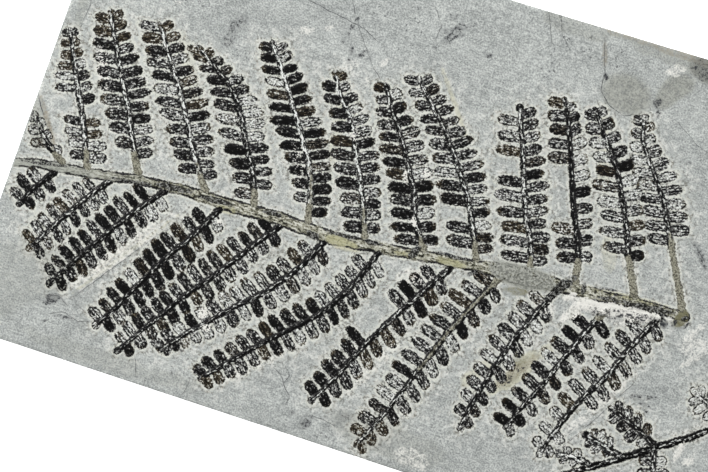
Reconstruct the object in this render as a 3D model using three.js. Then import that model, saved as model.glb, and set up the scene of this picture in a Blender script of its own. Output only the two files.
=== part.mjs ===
// Fern frond pressed in a sawn plate of pale shale.
// Millimetres, +Z up. X runs along the plate, Y across it. The origin is at the middle of the underside.

import * as THREE from 'three';

// ---- The plate -------------------------------------------------------------------------------

const PLATE_THICKNESS = 14;
const PLATE_LENGTH = 237.2;
const PLATE_WIDTH_LEFT = 141.5;
const PLATE_WIDTH_RIGHT = 147.5;
const PLATE_TAPER = 3.4;
const ARRIS = 0.6;

// ---- The plant film --------------------------------------------------------------------------

// How far each ridge stands above the bedding plane.
const RACHIS_RISE = 0.9;
const MIDRIB_RISE = 0.7;
const PINNULE_RISE = 0.5;

const MIDRIB_HALF_WIDTH = 0.8;
// How far each midrib's point runs past the end of its course.
const MIDRIB_POINT = 1.6;
// The two ridges along a rachis, as a fraction of its half width, and their distance from its ends.
const RACHIS_SHOULDER = 0.55;
const RACHIS_END_SLOPE = 1;

// Where a pinnule's ridge ends and where it is widest, as fractions of its reach.
const RIDGE_END = 0.66;
const WIDEST_AT = 0.74;
// Its half width, as a fraction of the distance to the next one, and the widest that may be.
const HALF_WIDTH = 0.36;
const GREATEST_HALF_WIDTH = 1.45;
// Pinnules further apart than this many pitches have one missing between them.
const MISSING_GAP = 1.6;
// Ridge points nearer to each other than this are one point.
const CLOSEST_STATIONS = 0.3;

// The rock sheared the leaf: each row of pinnules keeps its own bearing, in degrees from +X.
const UPPER_LEFT_BEARING = 190;
const UPPER_RIGHT_BEARING = 17;
const UPPER_RIGHT_SWEEP = 22;
const LOWER_LEFT_BEARING = 316;
const LOWER_RIGHT_BEARING = 147;
const SECOND_LEFT_BEARING = 236;
const SECOND_RIGHT_BEARING = 104;

// Natural unevenness from one pinnule to the next, as a fraction and in degrees.
const REACH_SCATTER = 0.05;
const BEARING_SCATTER = 2.5;
// How far apart the scattered numbers of two fronds, two pinnae and two rows begin.
const FROND_SEED = 1000;
const PINNA_SEED = 37;
const ROW_SEED = 100;

// The main rachis: x, y and half width at each station.
const MAIN_RACHIS = [
  [-117.6, -22.0, 1.3],
  [-110, -20.2, 1.5],
  [-100, -18.8, 1.6],
  [-88, -17.1, 1.6],
  [-81, -15.4, 1.5],
  [-66, -14.1, 1.7],
  [-51, -14.0, 2.1],
  [-36, -13.2, 2.1],
  [-20, -13.8, 2.2],
  [-5, -12.1, 1.7],
  [11, -9.9, 1.7],
  [26, -7.9, 1.9],
  [38, -6.8, 2.7],
  [50, -5.9, 2.1],
  [64, -4.8, 1.8],
  [78, -3.4, 1.7],
  [88.6, -3.0, 1.5],
];

// The rachis of the second frond, in the corner of the plate.
const SECOND_RACHIS = [
  [118.0, -24.6, 1.1],
  [105.5, -33.6, 1.1],
  [95, -41.3, 1.2],
  [85.4, -48.0, 1.2],
  [77.5, -53.5, 1.1],
  [69.5, -58.8, 0.9],
  [62, -64.0, 0.5],
];

// Each pinna: the course of its midrib from foot to tip, then its two rows of pinnules.
// from and to are the distances along the midrib of the first and last pinnule of a row, and
// reach is how far its pinnules stretch from the midrib near the foot, halfway and near the tip.
const UPPER_PINNAE = [
  {
    course: [[-104.6, -16.8], [-109.8, -13], [-115.2, -7]],
    left: { count: 2, from: 5.5, to: 10, reach: [5, 4.4, 3.6] },
    right: { count: 2, from: 3.5, to: 8, reach: [2.8, 2.6, 2.4] },
  },
  {
    course: [[-96, -16], [-101.2, -4], [-107.3, 8], [-113.2, 20]],
    left: { count: 11, from: 2.8, to: 36.5, reach: [4.6, 7, 2.8], lost: [4, 5] },
    right: { count: 10, from: 1.9, to: 33.6, reach: [6, 4.4, 3], lost: [4] },
  },
  {
    course: [[-81.5, -12], [-92.3, 8.7], [-97.8, 18.5], [-103.3, 29]],
    left: { count: 9, from: 7.4, to: 41, reach: [5.2, 7.8, 5.6] },
    right: { count: 12, from: 4.2, to: 42.5, reach: [5.4, 6.8, 4.2] },
  },
  {
    course: [[-60.8, -11], [-67, -2], [-75, 11.5], [-82, 21.5], [-87.8, 30]],
    left: { count: 11, from: 5.2, to: 45.5, reach: [5.6, 7.8, 6.4] },
    right: { count: 13, from: 3.6, to: 45.5, reach: [4.8, 6.8, 4.2] },
  },
  {
    course: [[-45.2, -10.4], [-48.3, -2], [-52.5, 4.6], [-58, 14.6], [-63.4, 20.3], [-74.4, 27.4]],
    left: { count: 10, from: 1.8, to: 41.5, reach: [5.2, 7.8, 4.8] },
    right: { count: 12, from: 5, to: 44, reach: [5, 6, 3.4] },
  },
  {
    course: [[-28, -10.3], [-30.5, 0], [-36, 10], [-43.7, 21.2], [-50.8, 31.3], [-54.2, 35.6]],
    left: { count: 12, from: 6, to: 49, reach: [4.8, 7.8, 5] },
    right: { count: 15, from: 1.8, to: 48.8, reach: [5.6, 6.6, 4.2] },
  },
  {
    course: [[-10.4, -9.6], [-14, -0.5], [-19.5, 10.5], [-25, 21.2], [-31.3, 28.8], [-33.6, 33]],
    left: { count: 11, from: 1.8, to: 45, reach: [5.6, 7.2, 4.6] },
    right: { count: 13, from: 2, to: 44.5, reach: [4.4, 6.4, 3.8] },
  },
  {
    course: [[7.2, -7.6], [2.8, -1], [-0.3, 7], [-4.5, 14], [-9.6, 22], [-14.5, 28.7], [-18, 34]],
    left: { count: 12, from: 1.6, to: 45, reach: [6.8, 7.8, 4.2] },
    right: { count: 11, from: 6, to: 46, reach: [5.2, 6.4, 3.8] },
  },
  {
    course: [[23.2, -5], [20.3, 1.5], [15.5, 10.5], [9.5, 18.8], [2, 28.3], [-4.6, 34.6], [-9, 39.2]],
    left: { count: 12, from: 3.2, to: 51, reach: [8.4, 7, 5], lost: [2] },
    right: { count: 15, from: 1.8, to: 51.5, reach: [5, 6.6, 4.2] },
  },
  {
    course: [[39.8, -3.2], [37.5, 4], [33.6, 11], [30.5, 19], [26.7, 29], [22, 40.6]],
    left: { count: 10, from: 2.4, to: 43.5, reach: [8.4, 8, 6.4], lost: [6] },
    right: { count: 13, from: 1.6, to: 45.5, reach: [5, 6.6, 4.8] },
  },
  {
    course: [[54, -2.6], [52, 6], [48.5, 13.5], [45, 21.5], [41, 32], [37.3, 41], [34.4, 46.8]],
    left: { count: 10, from: 10.6, to: 49, reach: [6.8, 7, 5.2], lost: [2, 3, 4, 5] },
    right: { count: 8, from: 7, to: 40, reach: [3.8, 5.6, 4.8] },
  },
  {
    course: [[71.8, -0.8], [67, 8.5], [63.5, 17], [59.5, 25], [55, 33], [49.5, 40], [44.2, 47]],
    left: { count: 9, from: 13, to: 50, reach: [7.2, 7.6, 4.8] },
    right: { count: 11, from: 6.6, to: 51, reach: [4.4, 5.8, 3.6], lost: [0] },
  },
  {
    course: [[86.7, -0.2], [82.5, 7.5], [76.5, 19], [71.5, 28], [65.5, 36], [60.5, 42.5], [58.5, 49.4]],
    left: { count: 8, from: 24, to: 53, reach: [6.9, 6.6, 3.8] },
    right: { count: 8, from: 23, to: 51, reach: [6, 6, 3.6] },
  },
];

const LOWER_PINNAE = [
  {
    course: [[-105.6, -22.6], [-109, -27.6], [-111.4, -32.8]],
    left: { count: 3, from: 1.6, to: 9.4, reach: [4.4, 4.4, 4] },
    right: { count: 2, from: 3.6, to: 7.4, reach: [5.4, 5.4, 5.4] },
  },
  {
    course: [[-89, -19.8], [-94.5, -27.5], [-100, -37], [-104.3, -44.6]],
    left: { count: 8, from: 2.2, to: 27.4, reach: [4.4, 5, 4.2] },
    right: { count: 8, from: 3.8, to: 27.7, reach: [4.8, 5.6, 4.8] },
  },
  {
    course: [[-72, -17], [-78.3, -25], [-83.5, -33], [-89, -42], [-95.3, -52.6]],
    left: { count: 11, from: 1.8, to: 40, reach: [5, 6, 4.4] },
    right: { count: 11, from: 4.8, to: 40.7, reach: [6.2, 6, 5] },
  },
  {
    course: [[-54.6, -17.2], [-58.5, -25], [-64.2, -34.3], [-70, -45], [-75.5, -56], [-78.2, -60.4]],
    left: { count: 12, from: 1.8, to: 46, reach: [4.8, 5.8, 4.6] },
    right: { count: 12, from: 5, to: 47.7, reach: [5.6, 6, 4.8] },
  },
  {
    course: [[-36.4, -16.6], [-42, -24.5], [-49, -35], [-55.5, -43.5], [-61, -52], [-69.6, -65.6]],
    left: { count: 14, from: 1.4, to: 56.5, reach: [4.2, 5, 3.6] },
    right: { count: 14, from: 5.2, to: 53.2, reach: [5.4, 5.8, 4.8] },
  },
  {
    course: [[-21.8, -17], [-25.8, -25], [-33, -35], [-41.5, -43.5], [-49.5, -52], [-57.4, -61]],
    left: { count: 11, from: 1, to: 42.6, reach: [4.8, 5.6, 4.6] },
    right: { count: 13, from: 4.3, to: 53.3, reach: [5.4, 5.8, 4.2] },
  },
  {
    course: [[-5.2, -14.8], [-8.5, -24], [-15, -35.5], [-23.5, -44.5], [-32, -53], [-43, -65.4]],
    left: { count: 16, from: 1.4, to: 60, reach: [5.2, 5.6, 4.4] },
    right: { count: 15, from: 5.1, to: 60.1, reach: [4.8, 6, 4.8] },
  },
  {
    course: [[16.3, -12.6], [10, -23], [4, -33.5], [-1.2, -44], [-5.5, -53.5], [-9.6, -61.4]],
    left: { count: 12, from: 3.3, to: 52.2, reach: [5, 6, 4.8] },
    right: { count: 12, from: 8.4, to: 53.7, reach: [5.4, 6.8, 5], lost: [3, 4, 5] },
  },
  {
    course: [[31.4, -10.8], [26.5, -21], [21.5, -32.5], [16.8, -46], [12.2, -58.5], [7.4, -69.6]],
    bearings: [316, 163],
    left: { count: 12, from: 2, to: 54.8, reach: [4.8, 6, 5] },
    right: { count: 13, from: 5.9, to: 60.3, reach: [6.8, 7, 4.8] },
  },
  {
    course: [[48.8, -9.2], [45.2, -17.5], [41, -28.5], [38, -40], [35.7, -50], [35, -55]],
    bearings: [316, 156],
    left: { count: 9, from: 4.8, to: 41, reach: [4.4, 5.2, 4] },
    right: { count: 9, from: 8.5, to: 44.3, reach: [6, 5.8, 3.8] },
  },
  {
    course: [[65, -9.6], [60.7, -19], [56.5, -30], [53, -39.5], [49.8, -46], [48.4, -50.4]],
    bearings: [316, 156],
    left: { count: 7, from: 2.8, to: 35, reach: [5, 5, 4.2] },
    right: { count: 7, from: 11.1, to: 39.5, reach: [6, 5.8, 5.4] },
  },
  {
    course: [[80.8, -6.8], [76.5, -15.5], [72, -27], [67, -36], [62.8, -46], [60.2, -55]],
    bearings: [316, 153],
    left: { count: 11, from: 1.6, to: 50, reach: [5, 5.2, 3.6], lost: [7, 8] },
    right: { count: 9, from: 10.9, to: 51.1, reach: [6.4, 6, 4] },
  },
];

const SECOND_PINNAE = [
  {
    course: [[90.6, -41.8], [86, -39.6], [77.2, -36.2]],
    left: { count: 4, from: 1.6, to: 12.6, reach: [3.4, 4, 3] },
    right: { count: 4, from: 1.6, to: 12.8, reach: [3.8, 4.2, 3] },
  },
  {
    course: [[81, -48.3], [78.2, -47.6], [72.4, -46.2]],
    left: { count: 3, from: 1.4, to: 7.2, reach: [2.2, 3, 2.4] },
    right: { count: 3, from: 1.2, to: 7, reach: [3.6, 4.2, 3] },
  },
  {
    course: [[72.8, -53.8], [70.2, -53.6], [65.8, -53.8]],
    left: { count: 2, from: 1.6, to: 4.6, reach: [2.3, 2.5, 2.5] },
    right: { count: 2, from: 1.4, to: 4.6, reach: [3, 3, 2.6] },
  },
  {
    course: [[92.6, -45], [94.6, -52], [98, -60]],
    bearings: [20, 196],
    left: { count: 4, from: 2.4, to: 13.6, reach: [3.6, 4.2, 3] },
    right: { count: 4, from: 2.2, to: 13.4, reach: [3.8, 4.2, 3] },
  },
  {
    course: [[108.2, -29], [104.6, -26.4], [99, -23.8]],
    left: { count: 3, from: 3.2, to: 9.2, reach: [3.6, 4, 3] },
    right: { count: 3, from: 1.8, to: 8.6, reach: [3.8, 4, 3] },
  },
];

// ---- Finishes --------------------------------------------------------------------------------

const SHALE = { color: 0xaeb2b1, roughness: 0.85, metalness: 0 };
const COAL_FILM = { color: 0x1d1c1d, roughness: 0.35, metalness: 0 };
const OLIVE_FILM = { color: 0x8f907b, roughness: 0.6, metalness: 0 };

// ---- Shapes ----------------------------------------------------------------------------------

const group = new THREE.Group();

function addMesh(name, geometry, finish) {
  const mesh = new THREE.Mesh(geometry, new THREE.MeshStandardMaterial(finish));
  mesh.name = name;
  group.add(mesh);
}

function heading(degrees) {
  const angle = THREE.MathUtils.degToRad(degrees);
  return new THREE.Vector2(Math.cos(angle), Math.sin(angle));
}

// A repeatable number between -1 and 1.
function scatter(seed) {
  const wave = Math.sin(seed * 12.9898 + 4.1414) * 43758.5453;
  return 2 * (wave - Math.floor(wave)) - 1;
}

// The value at fraction t of three values given for 0, a half and 1.
function threeWay([start, middle, end], t) {
  return t < 0.5
    ? THREE.MathUtils.lerp(start, middle, t * 2)
    : THREE.MathUtils.lerp(middle, end, t * 2 - 1);
}

// A thin solid on the bedding plane. outline is its edge, at the plane and anticlockwise from above.
// crest holds the raised points, and faces indexes outline and then crest.
function reliefGeometry(outline, crest, faces) {
  const positions = [
    ...outline.flatMap((point) => [point.x, point.y, PLATE_THICKNESS]),
    ...crest.flatMap(({ point, rise }) => [point.x, point.y, PLATE_THICKNESS + rise]),
  ];
  const underside = THREE.ShapeUtils.triangulateShape(outline, []).map(([a, b, c]) => [c, b, a]);
  const geometry = new THREE.BufferGeometry();
  geometry.setAttribute('position', new THREE.Float32BufferAttribute(positions, 3));
  geometry.setIndex([...faces, ...underside].flat());
  geometry.computeVertexNormals();
  return geometry;
}

// A flattened stem, with two raised shoulders along it.
function stemGeometry(stations) {
  const points = stations.map(([x, y]) => new THREE.Vector2(x, y));
  const last = stations.length - 1;
  const rightEdge = [];
  const leftEdge = [];
  const crest = [];
  stations.forEach(([, , halfWidth], k) => {
    const along = points[Math.min(k + 1, last)].clone().sub(points[Math.max(k - 1, 0)]).normalize();
    const left = new THREE.Vector2(-along.y, along.x);
    const atEnd = { 0: RACHIS_END_SLOPE, [last]: -RACHIS_END_SLOPE };
    const crown = points[k].clone().addScaledVector(along, atEnd[k] ?? 0);
    rightEdge.push(points[k].clone().addScaledVector(left, -halfWidth));
    leftEdge.push(points[k].clone().addScaledVector(left, halfWidth));
    for (const side of [-1, 1]) {
      const point = crown.clone().addScaledVector(left, side * halfWidth * RACHIS_SHOULDER);
      crest.push({ point, rise: RACHIS_RISE });
    }
  });
  const outline = [...rightEdge, ...leftEdge.reverse()];
  const right = (k) => k;
  const left = (k) => outline.length - 1 - k;
  const rightCrest = (k) => outline.length + 2 * k;
  const leftCrest = (k) => outline.length + 2 * k + 1;
  const faces = [];
  const quad = (a, b, c, d) => faces.push([a, b, c], [a, c, d]);
  for (let k = 0; k < last; k += 1) {
    quad(right(k), right(k + 1), rightCrest(k + 1), rightCrest(k));
    quad(rightCrest(k), rightCrest(k + 1), leftCrest(k + 1), leftCrest(k));
    quad(leftCrest(k), leftCrest(k + 1), left(k + 1), left(k));
  }
  quad(left(0), right(0), rightCrest(0), leftCrest(0));
  quad(right(last), left(last), leftCrest(last), rightCrest(last));
  return reliefGeometry(outline, crest, faces);
}

// The pinnules of one row: how far along the midrib each stands, its bearing and its reach.
function pinnuleRow({ count, from, to, reach, lost = [] }, bearing, sweep, seed) {
  const pitch = (to - from) / (count - 1);
  return Array.from({ length: count }, (_, k) => k)
    .filter((k) => !lost.includes(k))
    .map((k) => {
      const t = k / (count - 1);
      return {
        s: from + pitch * k,
        pitch,
        bearing: bearing + sweep * t + BEARING_SCATTER * scatter(seed + k),
        reach: threeWay(reach, t) * (1 + REACH_SCATTER * scatter(seed + k + 0.5)),
      };
    });
}

// The midrib of a pinna as a line that can be asked for a point, or a point beside it, at a distance
// along it.
function midribLine(course) {
  const curve = new THREE.CatmullRomCurve3(course.map(([x, y]) => new THREE.Vector3(x, y, 0)));
  const length = curve.getLength();
  const at = (s) => {
    const point = curve.getPointAt(THREE.MathUtils.clamp(s / length, 0, 1));
    return new THREE.Vector2(point.x, point.y);
  };
  const across = (s) => {
    const tangent = curve.getTangentAt(THREE.MathUtils.clamp(s / length, 0, 1));
    return new THREE.Vector2(-tangent.y, tangent.x);
  };
  const beside = (s, distance) => at(s).addScaledVector(across(s), distance);
  const { x, y } = across(length);
  const point = at(length).addScaledVector(new THREE.Vector2(y, -x), MIDRIB_POINT);
  return { length, at, across, beside, point };
}

// Where the ridge of a midrib has its points: one near each end and one at each pinnule.
function crestStations(length, rows) {
  const stations = [MIDRIB_HALF_WIDTH, length - MIDRIB_HALF_WIDTH, ...rows.flat().map(({ s }) => s)];
  return stations
    .sort((a, b) => a - b)
    .filter((s, k, all) => k === 0 || s - all[k - 1] > CLOSEST_STATIONS);
}

function nearest(stations, s) {
  const distances = stations.map((station) => Math.abs(station - s));
  return distances.indexOf(Math.min(...distances));
}

// The four points of a pinnule: its two widest points, its tip and the end of its ridge.
function pinnulePoints(midrib, { s, pitch, bearing, reach }, side) {
  const out = heading(bearing);
  const lean = Math.abs(out.dot(midrib.across(s)));
  const halfWidth = Math.min(pitch * lean * HALF_WIDTH, GREATEST_HALF_WIDTH);
  const towardTip = new THREE.Vector2(-out.y, out.x).multiplyScalar(-side * halfWidth);
  const along = (fraction) => midrib.at(s).addScaledVector(out, reach * fraction);
  return {
    near: along(WIDEST_AT).sub(towardTip),
    tip: along(1),
    far: along(WIDEST_AT).add(towardTip),
    ridgeEnd: along(RIDGE_END),
  };
}

// One side of a pinna, from foot to tip. edge lists the points of its outline. Between pinnules the
// surface is a strip from the edge up to the midrib's ridge, and each pinnule is a ring of edge
// points around its own ridge.
function pinnaSide(midrib, stations, row, side) {
  const edge = [];
  const strips = [];
  const pinnules = [];
  const addEdge = (s) => {
    const entry = { s, point: midrib.beside(s, side * MIDRIB_HALF_WIDTH) };
    edge.push(entry);
    return entry;
  };
  let strip = { edge: [addEdge(0)], from: 0 };
  row.forEach((pinnule, k) => {
    const { s, pitch } = pinnule;
    const foot = nearest(stations, s);
    const joinsPrevious = k > 0 && s - row[k - 1].s < pitch * MISSING_GAP;
    if (!joinsPrevious) {
      strip.edge.push(addEdge(Math.max(s - pitch / 2, s / 2)));
    }
    strips.push({ ...strip, to: foot });
    const before = strip.edge[strip.edge.length - 1];
    const { near, tip, far, ridgeEnd } = pinnulePoints(midrib, pinnule, side);
    const lobe = [{ point: near }, { point: tip }, { point: far }];
    edge.push(...lobe);
    const after = addEdge(Math.min(s + pitch / 2, (s + midrib.length) / 2));
    pinnules.push({ ring: [before, ...lobe, after], foot, ridgeEnd });
    strip = { edge: [after], from: foot };
  });
  strip.edge.push(addEdge(midrib.length));
  strips.push({ ...strip, to: stations.length - 1 });
  return { side, edge, strips, pinnules };
}

// The triangles of a strip between its edge points and the ridge points it runs along.
function stripFaces({ edge, from, to }, stations, crestIndex) {
  const faces = [];
  let e = 0;
  let c = from;
  while (e < edge.length - 1 || c < to) {
    const nextEdge = edge[e + 1]?.s ?? Infinity;
    const nextCrest = c < to ? stations[c + 1] : Infinity;
    if (nextEdge <= nextCrest) {
      faces.push([edge[e].index, edge[e + 1].index, crestIndex(c)]);
      e += 1;
    } else {
      faces.push([edge[e].index, crestIndex(c + 1), crestIndex(c)]);
      c += 1;
    }
  }
  return faces;
}

// The triangles of a pinnule: a fan round the end of its ridge, closed along the ridge's foot.
function pinnuleFaces({ ring, foot }, ridgeEnd, crestIndex) {
  const corners = [...ring.map(({ index }) => index), crestIndex(foot)];
  return corners.map((corner, k) => [corner, corners[(k + 1) % corners.length], ridgeEnd]);
}

// One pinna: a raised midrib with a row of ridged pinnules on each side, and a point at its tip.
function pinnaGeometry({ course, left, right, bearings }, defaults, seed) {
  const midrib = midribLine(course);
  const [leftBearing, rightBearing] = bearings ?? defaults.bearings;
  const rightRow = pinnuleRow(right, rightBearing, defaults.sweep, seed);
  const leftRow = pinnuleRow(left, leftBearing, 0, seed + ROW_SEED);
  const stations = crestStations(midrib.length, [rightRow, leftRow]);
  const rightSide = pinnaSide(midrib, stations, rightRow, -1);
  const leftSide = pinnaSide(midrib, stations, leftRow, 1);

  const tip = { point: midrib.point };
  const outline = [...rightSide.edge, tip, ...leftSide.edge.slice().reverse()];
  outline.forEach((entry, index) => {
    entry.index = index;
  });
  const crestIndex = (k) => outline.length + k;
  const crest = stations.map((s) => ({ point: midrib.at(s), rise: MIDRIB_RISE }));

  const faces = [];
  for (const { side, strips, pinnules } of [rightSide, leftSide]) {
    const turned = side < 0 ? (face) => face : ([a, b, c]) => [c, b, a];
    for (const strip of strips) {
      faces.push(...stripFaces(strip, stations, crestIndex).map(turned));
    }
    for (const pinnule of pinnules) {
      crest.push({ point: pinnule.ridgeEnd, rise: PINNULE_RISE });
      faces.push(...pinnuleFaces(pinnule, crestIndex(crest.length - 1), crestIndex).map(turned));
    }
  }
  const lastRidgePoint = crestIndex(stations.length - 1);
  faces.push([tip.index - 1, tip.index, lastRidgePoint], [tip.index, tip.index + 1, lastRidgePoint]);
  faces.push([outline.length - 1, 0, crestIndex(0)]);
  return reliefGeometry(outline.map(({ point }) => point), crest, faces);
}

// The plate: a sawn block, a little wider at one end, with its arrises eased.
function plateGeometry() {
  const bottom = -PLATE_WIDTH_RIGHT / 2;
  const end = PLATE_LENGTH / 2;
  const shape = new THREE.Shape([
    new THREE.Vector2(-end, bottom),
    new THREE.Vector2(end, bottom),
    new THREE.Vector2(end, bottom + PLATE_WIDTH_RIGHT),
    new THREE.Vector2(PLATE_TAPER - end, bottom + PLATE_WIDTH_LEFT),
  ]);
  const geometry = new THREE.ExtrudeGeometry(shape, {
    depth: PLATE_THICKNESS - 2 * ARRIS,
    bevelThickness: ARRIS,
    bevelSize: ARRIS,
    bevelOffset: -ARRIS,
    bevelSegments: 1,
  });
  geometry.translate(0, 0, ARRIS);
  return geometry;
}

// ---- The plate and what lies on it -----------------------------------------------------------

addMesh('plate', plateGeometry(), SHALE);
addMesh('main_rachis', stemGeometry(MAIN_RACHIS), OLIVE_FILM);
addMesh('second_rachis', stemGeometry(SECOND_RACHIS), COAL_FILM);

const FRONDS = [
  {
    prefix: 'upper_pinna',
    pinnae: UPPER_PINNAE,
    defaults: { bearings: [UPPER_LEFT_BEARING, UPPER_RIGHT_BEARING], sweep: UPPER_RIGHT_SWEEP },
  },
  {
    prefix: 'lower_pinna',
    pinnae: LOWER_PINNAE,
    defaults: { bearings: [LOWER_LEFT_BEARING, LOWER_RIGHT_BEARING], sweep: 0 },
  },
  {
    prefix: 'second_pinna',
    pinnae: SECOND_PINNAE,
    defaults: { bearings: [SECOND_LEFT_BEARING, SECOND_RIGHT_BEARING], sweep: 0 },
  },
];

FRONDS.forEach(({ prefix, pinnae, defaults }, frond) => {
  pinnae.forEach((pinna, k) => {
    const name = `${prefix}_${String(k + 1).padStart(2, '0')}`;
    const seed = frond * FROND_SEED + k * PINNA_SEED;
    addMesh(name, pinnaGeometry(pinna, defaults, seed), COAL_FILM);
  });
});

export default group;
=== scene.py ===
"""A fern frond pressed in a sawn plate of pale shale: its visible surface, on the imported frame."""

import logging
import math
from dataclasses import dataclass, field
from enum import Enum

import bpy
import numpy as np
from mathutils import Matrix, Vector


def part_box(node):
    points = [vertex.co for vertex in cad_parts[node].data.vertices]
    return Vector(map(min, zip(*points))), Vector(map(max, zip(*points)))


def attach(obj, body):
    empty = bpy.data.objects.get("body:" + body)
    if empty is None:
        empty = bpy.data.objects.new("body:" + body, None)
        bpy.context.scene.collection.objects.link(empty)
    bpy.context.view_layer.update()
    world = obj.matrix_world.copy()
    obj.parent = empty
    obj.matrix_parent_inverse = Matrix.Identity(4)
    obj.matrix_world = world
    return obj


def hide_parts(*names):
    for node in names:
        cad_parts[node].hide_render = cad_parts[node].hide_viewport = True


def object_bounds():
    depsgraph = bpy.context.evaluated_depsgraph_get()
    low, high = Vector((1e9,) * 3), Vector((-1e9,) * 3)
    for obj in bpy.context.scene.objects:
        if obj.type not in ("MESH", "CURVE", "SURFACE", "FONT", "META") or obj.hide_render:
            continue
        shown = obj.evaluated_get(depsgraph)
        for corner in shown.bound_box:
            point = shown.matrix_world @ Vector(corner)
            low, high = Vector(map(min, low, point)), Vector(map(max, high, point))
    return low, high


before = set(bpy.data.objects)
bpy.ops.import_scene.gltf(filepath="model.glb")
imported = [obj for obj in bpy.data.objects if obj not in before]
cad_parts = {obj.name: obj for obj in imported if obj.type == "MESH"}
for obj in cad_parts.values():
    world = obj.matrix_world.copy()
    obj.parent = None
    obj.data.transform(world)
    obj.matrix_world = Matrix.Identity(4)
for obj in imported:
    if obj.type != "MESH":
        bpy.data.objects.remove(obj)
cad_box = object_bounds()

Array = np.ndarray
log = logging.getLogger("fern_plate")

# Metres in a millimetre. Every size below is in millimetres unless its name says otherwise.
MM = 0.001

MAIN_RACHIS = "main_rachis"
SECOND_RACHIS = "second_rachis"
PLATE = "plate"


def ease(low: float, high: float, value: Array) -> Array:
    """A smooth step.

    Args:
        low: Where the step starts.
        high: Where it ends. It may be below low, for a falling step.
        value: The numbers to step.

    Returns:
        0 at low, 1 at high and a smooth curve between.
    """
    t = np.clip((value - low) / (high - low), 0.0, 1.0)
    return t * t * (3.0 - 2.0 * t)


class Grain:
    """Repeatable smooth noise over the plate's face."""

    def __init__(self, seed: int) -> None:
        """Draws the noise's lattice.

        Args:
            seed: Picks the noise.
        """
        draw = np.random.default_rng(seed)
        self._order = draw.permutation(256)
        turns = draw.uniform(0.0, 2.0 * math.pi, 256)
        self._slope = np.stack([np.cos(turns), np.sin(turns)], axis=-1)

    def at(self, x: Array, y: Array, wavelength: float) -> Array:
        """Noise of one wavelength.

        Args:
            x: Positions along the plate.
            y: Positions across it.
            wavelength: The size of its features.

        Returns:
            Numbers from about -1 to 1.
        """
        u, v = np.asarray(x) / wavelength, np.asarray(y) / wavelength
        cell_u, cell_v = np.floor(u).astype(int), np.floor(v).astype(int)
        part_u, part_v = u - cell_u, v - cell_v

        def corner(right: int, up: int) -> Array:
            """The slope of one corner of the cell, times the way to it.

            Args:
                right: 0 for the left corners, 1 for the right ones.
                up: 0 for the lower corners, 1 for the upper ones.

            Returns:
                Its share of the noise.
            """
            row = self._order[(cell_u + right) & 255]
            slope = self._slope[self._order[(row + cell_v + up) & 255]]
            return slope[..., 0] * (part_u - right) + slope[..., 1] * (part_v - up)

        blend_u, blend_v = ease(0.0, 1.0, part_u), ease(0.0, 1.0, part_v)
        lower = corner(0, 0) * (1.0 - blend_u) + corner(1, 0) * blend_u
        upper = corner(0, 1) * (1.0 - blend_u) + corner(1, 1) * blend_u
        return 1.5 * (lower * (1.0 - blend_v) + upper * blend_v)

    def layered(self, x: Array, y: Array, wavelength: float, layers: int) -> Array:
        """Noise summed over halving wavelengths, each half as strong.

        Args:
            x: Positions along the plate.
            y: Positions across it.
            wavelength: The size of its largest features.
            layers: How many wavelengths.

        Returns:
            Numbers from about -1 to 1.
        """
        total = sum(self.at(x, y, wavelength / 2**k) / 2**k for k in range(layers))
        return total / (2.0 - 2.0 ** (1 - layers))


@dataclass(frozen=True)
class Course:
    """A line of straight stretches on the plate's face."""

    points: Array

    def beside(self, x: Array, y: Array) -> tuple[Array, Array, Array]:
        """Where points lie beside the line.

        Args:
            x: Positions along the plate.
            y: Positions across it.

        Returns:
            The distance to the line, the same with a sign that is positive on its left, and how far
            along it the nearest point is.
        """
        nearest = np.full(np.shape(x), np.inf)
        offset = np.zeros(np.shape(x))
        station = np.zeros(np.shape(x))
        travelled = 0.0
        for start, end in zip(self.points[:-1], self.points[1:]):
            step = end - start
            length = float(np.hypot(*step))
            way_x, way_y = x - start[0], y - start[1]
            t = np.clip((way_x * step[0] + way_y * step[1]) / length**2, 0.0, 1.0)
            distance = np.hypot(way_x - t * step[0], way_y - t * step[1])
            left = np.sign(step[0] * way_y - step[1] * way_x)
            closer = distance < nearest
            nearest = np.where(closer, distance, nearest)
            offset = np.where(closer, distance * left, offset)
            station = np.where(closer, travelled + t * length, station)
            travelled += length
        return nearest, offset, station

    @property
    def length(self) -> float:
        """The length of the whole line."""
        return float(np.hypot(*np.diff(self.points, axis=0).T).sum())

    def point(self, station: float) -> Array:
        """The point at a distance along the line."""
        travelled = np.concatenate([[0.0], np.cumsum(np.hypot(*np.diff(self.points, axis=0).T))])
        return np.array([np.interp(station, travelled, self.points[:, k]) for k in (0, 1)])


# ---- The rock's face ---------------------------------------------------------------------------


class Stain(Enum):
    """What colours a spot of the rock: its value is the channel that carries it."""

    CARBON = 0
    BUFF = 1
    CHALK = 2
    FINE = 3
    RUST = 4
    OLIVE = 5


@dataclass(frozen=True)
class Blot:
    """An oval spot on the face, stained and perhaps a little raised or sunk."""

    stain: Stain
    x: float
    y: float
    length: float
    width: float
    turn: float = 0.0
    strength: float = 1.0
    rise: float = 0.0
    ragged: float = 0.35

    def cover(self, x: Array, y: Array, grain: Grain) -> Array:
        """How far the spot covers each point.

        Args:
            x: Positions along the plate.
            y: Positions across it.
            grain: The noise that makes its edge ragged.

        Returns:
            0 outside, up to 1 inside.
        """
        turn = math.radians(self.turn)
        way_x, way_y = x - self.x, y - self.y
        along = (way_x * math.cos(turn) + way_y * math.sin(turn)) / (self.length / 2)
        across = (way_y * math.cos(turn) - way_x * math.sin(turn)) / (self.width / 2)
        size = min(self.length, self.width)
        reach = np.hypot(along, across)
        reach = reach + self.ragged * grain.layered(x, y, max(size, 1.5), 3)
        return ease(1.15, 0.7, reach)


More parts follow.
